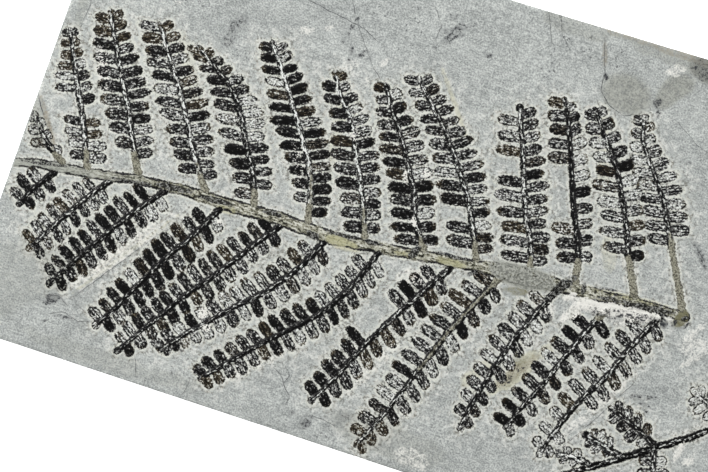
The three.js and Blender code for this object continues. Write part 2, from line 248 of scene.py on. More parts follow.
@dataclass(frozen=True)
class Ledge:
    """A thin lamina that ends at a line: the rock stands higher on the line's left."""

    course: tuple[tuple[float, float], ...]
    rise: float
    fade: float = 6.0

    def height(self, x: Array, y: Array, grain: Grain) -> Array:
        """The height that the lamina adds.

        Args:
            x: Positions along the plate.
            y: Positions across it.
            grain: The noise that makes its edge wander.

        Returns:
            Heights above the bedding plane.
        """
        line = Course(np.array(self.course, float))
        _, offset, station = line.beside(x, y)
        offset = offset + 0.5 * grain.layered(x, y, 5.0, 3)
        ends = ease(0.0, 3.0, station) * ease(line.length, line.length - 3.0, station)
        lip = ease(-0.35, 0.35, offset) * np.exp(-np.maximum(offset, 0.0) / self.fade)
        return self.rise * lip * ends


@dataclass(frozen=True)
class Swell:
    """A low rounded ridge along a line."""

    course: tuple[tuple[float, float], ...]
    rise: float
    width: float

    def height(self, x: Array, y: Array, grain: Grain) -> Array:
        """The height that the ridge adds.

        Args:
            x: Positions along the plate.
            y: Positions across it.
            grain: The noise that breaks it up.

        Returns:
            Heights above the bedding plane.
        """
        distance, _, _ = Course(np.array(self.course, float)).beside(x, y)
        crown = np.exp(-((distance / (self.width / 2)) ** 2))
        return self.rise * crown * (0.75 + 0.5 * grain.layered(x, y, 4.0, 2))


# The spots of each stain: x, y, length, width, turn, strength, rise and how ragged they are.
SPOTS: dict[Stain, tuple[tuple[float, ...], ...]] = {
    # Carbon smears round the frond, and black bits where the pinnae meet the rachis.
    Stain.CARBON: (
        (-67.5, 34, 15, 4.5, 70, 0.55, 0.0, 0.9), (-34, 46.5, 12, 1.3, 75, 0.7),
        (-31.5, 41, 7, 1.2, 100, 0.7), (-28, 41.5, 4, 1.6, 60, 0.6),
        (-3.5, 56, 12, 4.0, 50, 0.75, 0.0, 0.9), (-5, 61, 5, 2.2, 20, 0.5, 0.0, 0.8),
        (8, 53, 2.6, 1.5, 10, 0.9), (24, 54, 2.6, 1.0, 20, 0.6), (60.6, 55.2, 3.6, 2.4, 60, 1.2),
        (43.6, 58.0, 2.6, 1.4, 100, 1.0), (61.6, 53, 4.4, 1.0, 115, 1.0),
        (72, 70, 10, 8, 0, 0.75, 0.0, 0.5), (75, 34, 3.0, 1.0, 30, 0.5),
        (87.3, 15.9, 9.5, 2.0, 130, 0.95), (50.8, -5.9, 12, 3.2, 55, 1.3, 0.12),
        (57.1, -4.6, 4.6, 1.5, 100, 1.3, 0.08), (77.5, -3.9, 19, 2.2, 6, 1.1, 0.06, 0.5),
        (66, -5.0, 9, 1.6, 8, 1.1, 0.06, 0.6), (63, -2.6, 8, 1.0, 10, 1.0, 0.05),
        (76, -7.6, 5.4, 2.4, 30, 1.2, 0.1), (83, -6.6, 3.8, 2.8, 100, 1.2, 0.12),
        (89.6, -5.6, 3.6, 0.9, 60, 1.0, 0.05), (17, -7.6, 13, 1.1, 3, 1.2, 0.05),
        (24, -10.4, 4.0, 1.4, 40, 1.1), (5.5, -10.0, 5.5, 2.6, 60, 1.2, 0.06),
        (-7.2, -11.2, 7, 1.6, 6, 1.1, 0.05), (-16.2, -11.9, 11, 1.4, 3, 1.15, 0.05),
        (-25.3, -14.6, 5, 2.2, -10, 1.2, 0.06), (-38.5, -12.4, 7, 1.8, 6, 1.15, 0.05),
        (-56.3, -13.9, 12, 2.0, 3, 1.2, 0.05), (-69, -14.3, 12, 2.2, 4, 1.2, 0.05),
        (-81.5, -16.4, 15, 1.0, 8, 1.0, 0.04), (-108, -19.6, 17, 1.2, 11, 1.0, 0.04),
        (-93.4, -57.4, 5.0, 3.4, 40, 1.0, 0.0, 0.7), (-89, -61.6, 6.5, 1.2, 8, 0.65),
        (-93, -64, 2.4, 1.0, 30, 0.6), (-9.5, -68.6, 3.6, 6.0, -20, 0.75, 0.0, 0.6),
        (-14.5, -67.4, 2.6, 1.8, 10, 0.6), (1.5, -63.5, 7, 3.0, 50, 0.35),
        (82, -30.2, 5.0, 1.1, 14, 0.9, 0.0, 0.6), (85, -31.8, 4.0, 1.0, 0, 0.9, 0.0, 0.6),
        (87, -29, 4.0, 1.2, 10, 0.9), (86, -33.5, 3.0, 0.9, -20, 0.8),
        (-51.7, -60, 1.6, 1.2, 0, 0.7), (-104, 18, 2.0, 1.4, 0, 0.4),
        (88.6, -3.4, 2.6, 1.4, 40, 1.1, 0.1), (86.2, -5.8, 3.0, 1.2, 80, 1.2, 0.1),
        (44.5, -36.6, 17, 3.6, 53, 0.5, 0.0, 0.9), (71, -8.4, 22, 3.6, 12, 0.75, 0.0, 0.9),
    ),
    # Finer, darker laminae.
    Stain.FINE: (
        (51, 55, 17, 13, -5, 0.85, -0.16, 0.08), (64.2, 60.5, 16, 7.5, 55, 0.85, -0.06, 0.4),
        (72, 69.5, 13, 9, 0, 1.0, 0.0, 0.3), (66, 70, 50, 7, -3, 0.45, 0.0, 0.5),
        (100, 62, 34, 20, -15, 0.45, -0.05, 0.4), (30, 70, 26, 7, 0, 0.4, 0.0, 0.5),
        (38.5, -6.8, 24, 7.4, 3, 1.2, 0.12, 0.14), (-114, -9, 4.5, 20, 20, 0.5, -0.05, 0.3),
        (-112.5, 31, 3.5, 22, 5, 0.4, -0.05, 0.3), (18, -66, 44, 12, -4, 0.35, 0.0, 0.6),
        (-70, -70, 60, 7, 0, 0.3, 0.0, 0.6), (-106, -56, 34, 26, 20, 0.3, 0.0, 0.6),
    ),
    # Olive clay skin past the end of the rachis.
    Stain.OLIVE: (
        (87.6, -4.2, 6.6, 4.2, 75, 1.0, 0.2), (38, -11.6, 8, 2.4, 10, 0.7, 0.08),
        (45.5, -30.5, 4, 5, 20, 0.45),
    ),
    # Cream clay that the frond has lifted.
    Stain.BUFF: (
        (71, -2.6, 24, 1.6, 5, 0.7, 0.04, 0.5), (3, 36, 26, 1.6, 128, 0.6, 0.05),
        (-28, 18, 4.5, 26, 8, 0.3), (46, -34.4, 23, 5.5, 53, 0.8, 0.08, 0.6),
        (35, -38, 16, 4, 53, 0.5, 0.04, 0.7), (-75, 20, 5, 30, 30, 0.25), (50, 36, 5, 26, 20, 0.35),
        (61, 8, 5, 14, 20, 0.35), (-16, -14.3, 12, 4.2, -2, 1.0, 0.16, 0.15),
        (-52, -15.6, 6.5, 2.8, 3, 0.9, 0.1, 0.2), (3, -11.6, 8, 2.0, 5, 0.8, 0.05, 0.3),
        (17, -9.6, 11, 2.6, 3, 0.9, 0.08, 0.3), (-77.4, -38.8, 40, 1.4, 55, 0.5, 0.0, 0.6),
    ),
    # White crushed clay.
    Stain.CHALK: (
        (24, -69, 11, 6, -5, 0.4, 0.12, 0.8), (69, -7.6, 30, 4.8, 7, 1.3, 0.22, 0.5),
        (56, -12.5, 8, 4.0, 50, 0.8, 0.12, 0.7), (54, -8.2, 4.6, 2.6, 40, 1.0, 0.12, 0.5),
        (79.5, -5.8, 6.5, 2.6, 6, 0.9, 0.2, 0.5), (70, -10.5, 6, 3.0, 0, 0.6, 0.1, 0.7),
        (1.5, 13.4, 3.4, 2.4, 25, 1.0, 0.14, 0.3), (-4.2, 10.6, 1.6, 4.6, 25, 0.8, 0.08, 0.4),
        (2.4, -1.4, 1.6, 3.4, 30, 1.0, 0.1, 0.3), (-22.6, 17.4, 4.6, 3.4, 0, 0.6, 0.05, 0.9),
        (-49, -47, 3.6, 3.4, 0, 0.9, 0.06, 0.6), (-46.6, -51, 3.0, 3.4, 0, 0.8, 0.06, 0.6),
        (-53, -19.6, 2.0, 1.6, 0, 0.9, 0.06, 0.4), (103, -44, 4.4, 2.4, 40, 0.9, 0.2, 0.4),
        (99.5, -42, 2.0, 8.0, -12, 0.75, 0.18, 0.4), (-46, 43, 4.6, 2.8, 20, 0.6, 0.1, 0.5),
        (-40, 46, 2.6, 1.6, 40, 0.55, 0.08, 0.5), (-30, 37.5, 5.0, 3.0, 60, 0.5, 0.08, 0.8),
        (-21, 41, 3.6, 2.0, 60, 0.7, 0.1, 0.6), (-85, 39, 3.0, 1.6, 30, 0.5, 0.08, 0.5),
        (-24, 34, 4.0, 1.4, -50, 0.5, 0.06, 0.6), (62.8, 66.3, 6.0, 3.6, 30, 0.75, 0.1, 0.6),
        (94, -11, 9, 6, 0, 0.5, 0.18, 0.7), (92.5, -7, 12, 2.4, 58, 0.65, 0.16, 0.9),
        (96, -13, 12, 2.6, 48, 0.6, 0.14, 0.9), (71, -38.5, 36, 2.6, 59, 0.5, 0.05, 0.5),
        (-77.8, -37.8, 42, 4.6, 55, 0.5, 0.05, 0.7), (99, -7, 3, 16, -25, 0.5, 0.12, 0.6),
        (48, -14, 7, 5, 30, 0.45, 0.1, 0.8), (8, -17, 14, 5, 10, 0.4, 0.05, 0.8),
        (-36, 5, 4, 22, 18, 0.3, 0.0, 0.7), (-100, 12, 4, 16, 24, 0.4, 0.0, 0.7),
        (5, -46, 3.5, 30, -28, 0.35, 0.0, 0.6), (-29, -57, 26, 4, 45, 0.3, 0.0, 0.6),
    ),
    # Iron-stained lines.
    Stain.RUST: (
        (66, 71.5, 66, 3.0, 0, 0.4, 0.0, 0.5), (45, -35.4, 18, 3.6, 53, 0.55, 0.0, 0.8),
        (-110.5, -8.5, 20, 1.8, -57, 0.6), (41.2, 64, 10, 1.6, 108, 0.5),
        (-77.8, -37.0, 38, 0.9, 55, 0.45, 0.0, 0.7),
    ),
}

BLOTS = tuple(Blot(stain, *row) for stain, rows in SPOTS.items() for row in rows)

RELIEF = (
    Ledge(((-63, -58), (-55, -60), (-45, -54), (-38, -55)), 0.22),
    Ledge(((-47.5, -73), (-46.5, -67), (-42, -66)), 0.18),
    Ledge(((-104, -22), (-112, -12), (-117, 0)), 0.2, 8.0),
    Ledge(((100, -56), (88, -66), (60, -69), (40, -68)), 0.25, 9.0),
    Ledge(((110, 64), (96, 52), (93, 36), (100, 24)), 0.25, 12.0),
    Ledge(((-24, 52), (-34, 60), (-60, 56), (-72, 60)), 0.14, 8.0),
    Ledge(((20, 52), (34, 62), (42, 60)), 0.12, 8.0),
    Ledge(((-20, -71), (8, -67), (34, -72)), 0.16, 7.0),
    Ledge(((112, -20), (104, -12), (92, -16)), 0.2, 6.0),
    Swell(((-67.5, -24), (-78, -39), (-88.5, -54)), 0.24, 2.6),
    Swell(((78, -25), (70, -39), (62, -52)), 0.16, 2.2),
    Swell(((90, -8), (94, -14), (98, -12)), 0.2, 3.0),
    Swell(((-94, -56), (-86, -60), (-78, -64)), 0.16, 2.0),
    Swell(((-17, -54), (-19, -60), (-20, -66)), 0.12, 3.0),
)


@dataclass
class Bedding:
    """The split face of the plate: its height and its stains."""

    seed: int = 7
    roll: float = 0.16
    grit: float = 0.045

    def __post_init__(self) -> None:
        """Draws the noises."""
        self._broad = Grain(self.seed)
        self._close = Grain(self.seed + 1)

    def height(self, x: Array, y: Array) -> Array:
        """The height of the face above the bedding plane.

        Args:
            x: Positions along the plate.
            y: Positions across it.

        Returns:
            Heights, mostly within a few tenths of a millimetre of 0.
        """
        total = self.roll * self._broad.layered(x, y, 38.0, 3)
        total = total + self.grit * self._close.layered(x, y, 4.5, 3)
        # The face has shallow terraces where laminae end.
        terrace = self._broad.layered(x + 300.0, y * 1.6, 55.0, 4)
        total = total + 0.08 * ease(-0.04, 0.04, terrace) + 0.06 * ease(0.22, 0.27, terrace)
        for blot in BLOTS:
            if blot.rise:
                total = total + blot.rise * blot.cover(x, y, self._close)
        for shape in RELIEF:
            total = total + shape.height(x, y, self._close)
        return total

    def stains(self, x: Array, y: Array) -> Array:
        """How strongly each kind of stain colours each point.

        Args:
            x: Positions along the plate.
            y: Positions across it.

        Returns:
            One channel for each Stain, last axis, from 0 to 1.
        """
        channels = np.zeros((*np.shape(x), len(Stain)))
        for blot in BLOTS:
            cover = blot.strength * blot.cover(x, y, self._close)
            channel = channels[..., blot.stain.value]
            np.maximum(channel, cover, out=channel)
        return channels


# ---- The plant ---------------------------------------------------------------------------------


class Film(Enum):
    """What is left of the coal film on a pinnule."""

    COAL = "whole and black"
    BROWN = "thinned to a brown skin"
    OLIVE = "altered to olive"
    STRIPED = "split along its length into black and pale stripes"
    PALE = "gone, but for its outline"


@dataclass(frozen=True)
class Worn:
    """A spot where the pinnules are all in one state."""

    film: Film
    x: float
    y: float
    radius: float


# Where two overlap, the later one holds.
WORN = tuple(Worn(*row) for row in (
    (Film.BROWN, -113, 14, 5), (Film.BROWN, -103, 27, 4.5), (Film.PALE, -109, 7, 3),
    (Film.BROWN, -98, -6, 4), (Film.BROWN, -87, 29, 4.5), (Film.BROWN, -70, 11.5, 2.8),
    (Film.PALE, -50.5, 10, 3.6), (Film.PALE, -54, 17, 3.6), (Film.BROWN, -73, 28, 4.0),
    (Film.STRIPED, -52, 37, 3.0), (Film.PALE, -53, 25, 2.2), (Film.STRIPED, -36, 17, 2.4),
    (Film.BROWN, -33.5, 33.5, 3.6), (Film.PALE, -24.5, 24.0, 3.0), (Film.STRIPED, -19.5, 22.5, 3.0),
    (Film.PALE, 1, 13.5, 3.0), (Film.STRIPED, -2, 19, 3.2), (Film.STRIPED, -6, 24, 3.0),
    (Film.PALE, -15, 32, 3.0), (Film.PALE, 5.5, 2.0, 2.6), (Film.PALE, 12, 5, 2.6),
    (Film.PALE, 22.5, 4.2, 2.6), (Film.STRIPED, 18, 12, 2.6), (Film.STRIPED, 18, 33.5, 2.6),
    (Film.BROWN, 21.5, 28.5, 2.6), (Film.BROWN, 28, 46, 4.6), (Film.OLIVE, 31, 39, 2.6),
    (Film.PALE, 46, 27, 4.0), (Film.PALE, 44, 34, 4.0), (Film.PALE, 50, 38, 4.0),
    (Film.PALE, 57, 23, 2.4), (Film.STRIPED, 53.5, 26.5, 2.4), (Film.STRIPED, 59, 18, 2.6),
    (Film.BROWN, 66, 20, 2.8), (Film.COAL, 59, 32, 3.0), (Film.PALE, 62, 29, 3.0),
    (Film.STRIPED, 69, 24, 3.0), (Film.STRIPED, 73, 20.5, 3.0), (Film.STRIPED, 77.5, 24.5, 4.0),
    (Film.STRIPED, 66.7, 39, 3.0), (Film.STRIPED, 74, 32, 3.6), (Film.PALE, 68, 34, 3.0),
    (Film.BROWN, -99.6, -29.5, 2.8), (Film.BROWN, -105, -42, 3.4), (Film.STRIPED, -70, -19.6, 3.0),
    (Film.PALE, -72, -23, 3.0), (Film.PALE, -52.5, -19.5, 3.0), (Film.BROWN, -56.7, -28, 2.6),
    (Film.PALE, -72.9, -42.5, 2.6), (Film.STRIPED, -80, -57.9, 3.6), (Film.BROWN, -48.3, -27, 2.2),
    (Film.STRIPED, -40, -26.2, 2.6), (Film.STRIPED, -44.2, -32.9, 2.6),
    (Film.BROWN, -52.5, -42.5, 2.8), (Film.STRIPED, -70, -62, 4.6), (Film.STRIPED, -36, -34, 3.2),
    (Film.PALE, -36, -42.5, 2.8), (Film.PALE, -49, -47, 3.2), (Film.PALE, -46.5, -51, 3.0),
    (Film.PALE, -4, -17, 3.6), (Film.STRIPED, -5, -24, 4.0), (Film.STRIPED, -11.4, -22.5, 3.6),
    (Film.PALE, -18, -45.5, 3.2), (Film.BROWN, -25, -53.5, 3.0), (Film.BROWN, -41, -65.5, 4.4),
    (Film.BROWN, 0, -46, 2.8), (Film.BROWN, 22.5, -18, 2.8), (Film.PALE, 24, -31, 2.6),
    (Film.PALE, 11, -53, 2.8), (Film.BROWN, 9.5, -66, 5.0), (Film.PALE, 37.5, -31.7, 3.4),
    (Film.BROWN, 50.4, -25.8, 2.4), (Film.COAL, 57, -18, 2.8), (Film.COAL, 48.5, -46, 4.2),
    (Film.BROWN, 62.5, -37.5, 2.4), (Film.STRIPED, 70, -34, 7.0), (Film.STRIPED, 75, -20, 5.0),
))


@dataclass(frozen=True)
class Wear:
    """How one pinna has weathered.

    lost is the share of the film that has flaked off and glint how pale its midrib is, in streaks of
    bare clay and painted white highlights. stalk is how far from its foot the midrib is khaki, and
    bare how far from it there are no pinnules.
    """

    lost: float = 0.45
    painted_glint: float = 0.4
    stalk: float = 3.0
    bare: float = 1.2


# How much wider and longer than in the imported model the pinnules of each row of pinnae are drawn.
SPREAD = {"upper": (1.23, 1.1), "lower": (1.16, 1.13), "second": (1.3, 1.22)}

WEAR = {
    "upper_pinna_01": Wear(0.6, 0.5),
    "upper_pinna_02": Wear(0.42, 0.7, 4.0, 3.0),
    "upper_pinna_03": Wear(0.27, 0.7, 4.0, 3.5),
    "upper_pinna_04": Wear(0.32, 0.85, 6.0, 2.5),
    "upper_pinna_05": Wear(0.3, 0.5, 3.0, 2.0),
    "upper_pinna_06": Wear(0.12, 0.95, 14.0, 3.0),
    "upper_pinna_07": Wear(0.31, 0.8, 7.0, 2.0),
    "upper_pinna_08": Wear(0.26, 0.55, 2.0, 1.0),
    "upper_pinna_09": Wear(0.35, 0.6, 4.0, 2.5),
    "upper_pinna_10": Wear(0.35, 0.65, 2.0, 1.0),
    "upper_pinna_11": Wear(0.36, 0.2, 5.0, 5.0),
    "upper_pinna_12": Wear(0.38, 0.4, 9.5, 10.0),
    "upper_pinna_13": Wear(0.55, 0.5, 21.0, 19.0),
    "lower_pinna_01": Wear(0.33, 0.1, 0.0, 0.5),
    "lower_pinna_02": Wear(0.42, 0.4, 0.0, 0.5),
    "lower_pinna_03": Wear(0.24, 0.25, 0.0, 0.5),
    "lower_pinna_04": Wear(0.17, 0.25, 0.0, 0.5),
    "lower_pinna_05": Wear(0.27, 0.3, 0.0, 0.5),
    "lower_pinna_06": Wear(0.36, 0.35, 0.0, 0.5),
    "lower_pinna_07": Wear(0.29, 0.2, 0.0, 0.5),
    "lower_pinna_08": Wear(0.25, 0.4, 0.0, 0.5),
    "lower_pinna_09": Wear(0.36, 0.45, 34.0, 0.5),
    "lower_pinna_10": Wear(0.42, 0.35, 0.0, 1.0),
    "lower_pinna_11": Wear(0.4, 0.45, 2.0, 1.5),
    "lower_pinna_12": Wear(0.54, 0.45, 0.0, 1.0),
    "second_pinna_01": Wear(0.5, 0.3, 0.0, 0.5),
    "second_pinna_02": Wear(0.52, 0.6, 0.0, 0.5),
    "second_pinna_03": Wear(0.62, 0.8, 0.0, 0.5),
    "second_pinna_04": Wear(0.6, 0.5, 0.0, 0.5),
    "second_pinna_05": Wear(0.85, 0.8, 0.0, 0.5),
}


class CadRelief:
    """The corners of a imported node, in millimetres, and which of them share a face."""

    # Corners nearer in height than this are at the same height.
    LEVEL = 0.02

    def __init__(self, node: str) -> None:
        """Reads the node.

        Args:
            node: The node's name.
        """
        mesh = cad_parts[node].data
        flat = np.zeros(len(mesh.vertices) * 3, np.float32)
        mesh.vertices.foreach_get("co", flat)
        corners = np.round(flat.reshape(-1, 3).astype(float) / MM, 3)
        self.points, merged = np.unique(corners, axis=0, return_inverse=True)
        merged = np.ravel(merged)
        self.neighbours: list[set[int]] = [set() for _ in self.points]
        for polygon in mesh.polygons:
            ring = {int(merged[k]) for k in polygon.vertices}
            for k in ring:
                self.neighbours[k] |= ring - {k}
        self.top = float(self.points[:, 2].max())
        self.plane = float(self.points[:, 2].min())

    def at_height(self, height: float) -> list[int]:
        """The corners at one height."""
        return [int(k) for k in np.flatnonzero(np.abs(self.points[:, 2] - height) < self.LEVEL)]

    def chain(self) -> list[int]:
        """The highest corners, in order along the ridge that they make.

        Returns:
            Corner numbers, from one end to the other.
        """
        ridge = set(self.at_height(self.top))
        joined = {k: self.neighbours[k] & ridge for k in ridge}
        here = min(k for k in ridge if len(joined[k]) == 1)
        order = [here]
        while len(order) < len(ridge):
            here = next(k for k in joined[here] if k not in order[-2:])
            order.append(here)
        return order


@dataclass(frozen=True)
class Pinnule:
    """One lobe, from its midrib to its tip."""

    foot: Array
    tip: Array
    half_width: float
    number: int


@dataclass(frozen=True)
class Pinna:
    """One pinna: its midrib from foot to tip, and its pinnules."""

    name: str
    midrib: Course
    pinnules: tuple[Pinnule, ...]

    # Where a pinnule's ridge ends, as a fraction of its reach.
    RIDGE_END = 0.66
    # How far the midrib runs past the two ends of its ridge, into the rachis and to its point.
    INTO_RACHIS = 2.4
    TO_POINT = 1.8
    # The small pinnules at its tip: each is this much of the size of the one before.
    CROWN_SHRINK = 0.84
    FOOT_SHRINK = 0.94
    CROWN_GAP = 0.88

    @classmethod
    def read(cls, name: str, rachis: Course, bare: float, first_number: int) -> "Pinna":
        """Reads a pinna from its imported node.

        Args:
            name: The node's name.
            rachis: The rachis that its foot stands on.
            bare: How far from its foot there are no pinnules.
            first_number: The number of its first pinnule.

        Returns:
            The pinna.
        """
        relief = CadRelief(name)
        chain = relief.chain()
        line = relief.points[chain][:, :2]
        reach, _, _ = rachis.beside(line[[0, -1], 0], line[[0, -1], 1])
        if reach[0] > reach[1]:
            line = line[::-1]
        first, last = line[0] - line[1], line[-1] - line[-2]
        start = line[0] + first / np.hypot(*first) * cls.INTO_RACHIS
        end = line[-1] + last / np.hypot(*last) * cls.TO_POINT
        ridge = set(chain)
        low = set(relief.at_height(relief.plane))
        pinnules = []
        for k in range(len(relief.points)):
            if k in ridge or k in low:
                continue
            foot = relief.points[next(iter(relief.neighbours[k] & ridge))][:2]
            tip = foot + (relief.points[k][:2] - foot) / cls.RIDGE_END
            around = relief.points[sorted(relief.neighbours[k] & low)][:, :2]
            axis = (tip - foot) / np.hypot(*(tip - foot))
            along = (around - foot) @ axis
            across = np.abs((around - foot) @ np.array([-axis[1], axis[0]]))
            widest = across[along > 0.6 * np.hypot(*(tip - foot))].max()
            pinnules.append(Pinnule(foot, tip, float(widest), first_number + len(pinnules)))
        midrib = Course(np.vstack([start, line, end]))
        return cls(name, midrib, cls._filled(midrib, pinnules, bare + cls.INTO_RACHIS))

    @classmethod
    def _filled(cls, midrib: Course, pinnules: list[Pinnule],
                bare: float) -> tuple[Pinnule, ...]:
        """Adds the pinnules nearest the foot, the small ones near the tip, and the end one.

        Args:
            midrib: The midrib's line.
            pinnules: The full pinnules.
            bare: How far along the midrib the first pinnule may stand.

        Returns:
            All the pinnules.
        """
        grown = list(pinnules)
        number = pinnules[0].number + len(pinnules)
        for side in (1.0, -1.0):
            row = []
            for pinnule in pinnules:
                _, offset, _ = midrib.beside(*pinnule.tip)
                _, _, station = midrib.beside(*pinnule.foot)
                if offset * side > 0:
                    row.append((float(station), pinnule))
            if not row:
                continue
            row.sort(key=lambda item: item[0])
            gaps = np.diff([station for station, _ in row])
            gap = float(np.median(gaps)) if len(gaps) else 2.5 * row[-1][1].half_width
            station, last = row[-1]
            way = last.tip - last.foot
            half = last.half_width
            forward = midrib.points[-1] - midrib.points[-2]
            forward = forward / np.hypot(*forward)
            while station + gap * cls.CROWN_GAP < midrib.length - 1.0:
                gap *= cls.CROWN_GAP
                station += gap
                way = way * cls.CROWN_SHRINK + forward * 0.5
                half *= 0.93
                foot = midrib.point(station)
                grown.append(Pinnule(foot, foot + way, half, number))
                number += 1
            station, first = row[0]
            gap = float(gaps[0]) if len(gaps) else gap
            way = first.tip - first.foot
            while station - gap > bare:
                station -= gap
                way = way * cls.FOOT_SHRINK
                foot = midrib.point(station)
                grown.append(Pinnule(foot, foot + way, first.half_width, number))
                number += 1
        forward = midrib.points[-1] - midrib.points[-2]
        forward = forward / np.hypot(*forward)
        tip = midrib.points[-1] + forward * 0.5
        grown.append(Pinnule(tip - forward * 2.6, tip, 0.95, number))
        return tuple(grown)


@dataclass(frozen=True)
class Rachis:
    """A rachis: its middle line and its half width along it."""

    name: str
    middle: Course
    half_widths: Array

    # Where its two shoulders stand, as a fraction of its half width.
    SHOULDER = 0.55
    PAST_END = 1.2

    @classmethod
    def read(cls, name: str) -> "Rachis":
        """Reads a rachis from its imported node.

        Args:
            name: The node's name.

        Returns:
            The rachis.
        """
        relief = CadRelief(name)
        crowns = relief.points[relief.at_height(relief.top)][:, :2]
        crowns = crowns[np.argsort(crowns[:, 0])]
        pairs = crowns.reshape(-1, 2, 2)
        middle = pairs.mean(axis=1)
        half_widths = np.hypot(*(pairs[:, 0] - pairs[:, 1]).T) / 2 / cls.SHOULDER
        first, last = middle[0] - middle[1], middle[-1] - middle[-2]
        start = middle[0] + first / np.hypot(*first) * cls.PAST_END
        end = middle[-1] + last / np.hypot(*last) * cls.PAST_END
        widths = np.concatenate([half_widths[:1], half_widths, half_widths[-1:]])
        return cls(name, Course(np.vstack([start, middle, end])), widths)

    def half_width(self, station: Array) -> Array:
        """The half width at a distance along the rachis."""
        steps = np.hypot(*np.diff(self.middle.points, axis=0).T)
        return np.interp(station, np.concatenate([[0.0], np.cumsum(steps)]), self.half_widths)


# ---- What lies where ---------------------------------------------------------------------------


@dataclass
class FilmMap:
    """A fine lattice over the face, which says at each point which film is nearest and its state.

    edge is the distance to the film's edge, negative on the film. lobe holds the way along and
    across a pinnule and its number. rib holds the way across and along the nearest midrib or rachis
    and 1 on it. look holds how far the film is lost, brown and striped. tint holds how khaki, how
    pale (up to painted white highlights) and how olive the film is.
    """

    low: Array
    high: Array
    pitch: float = 0.27
    far: float = 9.0
    reach: float = 5.0
    seed: int = 21

    def __post_init__(self) -> None:
        """Lays out the empty lattice."""
        across = np.arange(self.low[0], self.high[0], self.pitch)
        up = np.arange(self.low[1], self.high[1], self.pitch)
        self.x, self.y = np.meshgrid(across, up)
        self.edge = np.full(self.x.shape, self.far)
        self.owner = np.full(self.x.shape, -1)
        self.rise = np.zeros(self.x.shape)
        self.channels = {
            name: np.zeros((*self.x.shape, 3)) for name in ("lobe", "rib", "look", "tint")
        }
        self.grain = Grain(self.seed)
        self.names: list[str] = []

    def window(self, points: Array, margin: float) -> tuple[slice, slice]:
        """The part of the lattice around some points.

        Args:
            points: The points.
            margin: How far round them it reaches.

        Returns:
            The rows and the columns.
        """
        low = np.floor((points.min(axis=0) - margin - self.low) / self.pitch).astype(int)
        high = np.ceil((points.max(axis=0) + margin - self.low) / self.pitch).astype(int)
        low = np.maximum(low, 0)
        return slice(low[1], max(high[1], 0) + 1), slice(low[0], max(high[0], 0) + 1)

    def lay(self, window: tuple[slice, slice], edge: Array, owner: int, rise: Array,
            **channels: tuple[Array | float, Array | float, Array | float]) -> None:
        """Lays a piece of film on the lattice wherever it is nearer than what is there.

        Args:
            window: The part of the lattice.
            edge: The distance to the piece's edge.
            owner: The number of the node it belongs to.
            rise: Its relief above the plain film.
            **channels: The three values of each channel.
        """
        nearer = edge < self.edge[window]
        self.edge[window][nearer] = edge[nearer]
        self.owner[window][nearer] = owner
        self.rise[window][nearer] = np.broadcast_to(rise, edge.shape)[nearer]
        for name, values in channels.items():
            for k, value in enumerate(values):
                laid = np.broadcast_to(value, edge.shape)
                self.channels[name][window][..., k][nearer] = laid[nearer]

    def sample(self, values: Array, x: Array, y: Array) -> Array:
        """The lattice's values at any points, by nearest neighbour.

        Args:
            values: An array over the lattice.
            x: Positions along the plate.
            y: Positions across it.

        Returns:
            The values.
        """
        rows, columns = self.x.shape
        column = np.rint((x - self.low[0]) / self.pitch).astype(int)
        row = np.rint((y - self.low[1]) / self.pitch).astype(int)
        return values[np.clip(row, 0, rows - 1), np.clip(column, 0, columns - 1)]


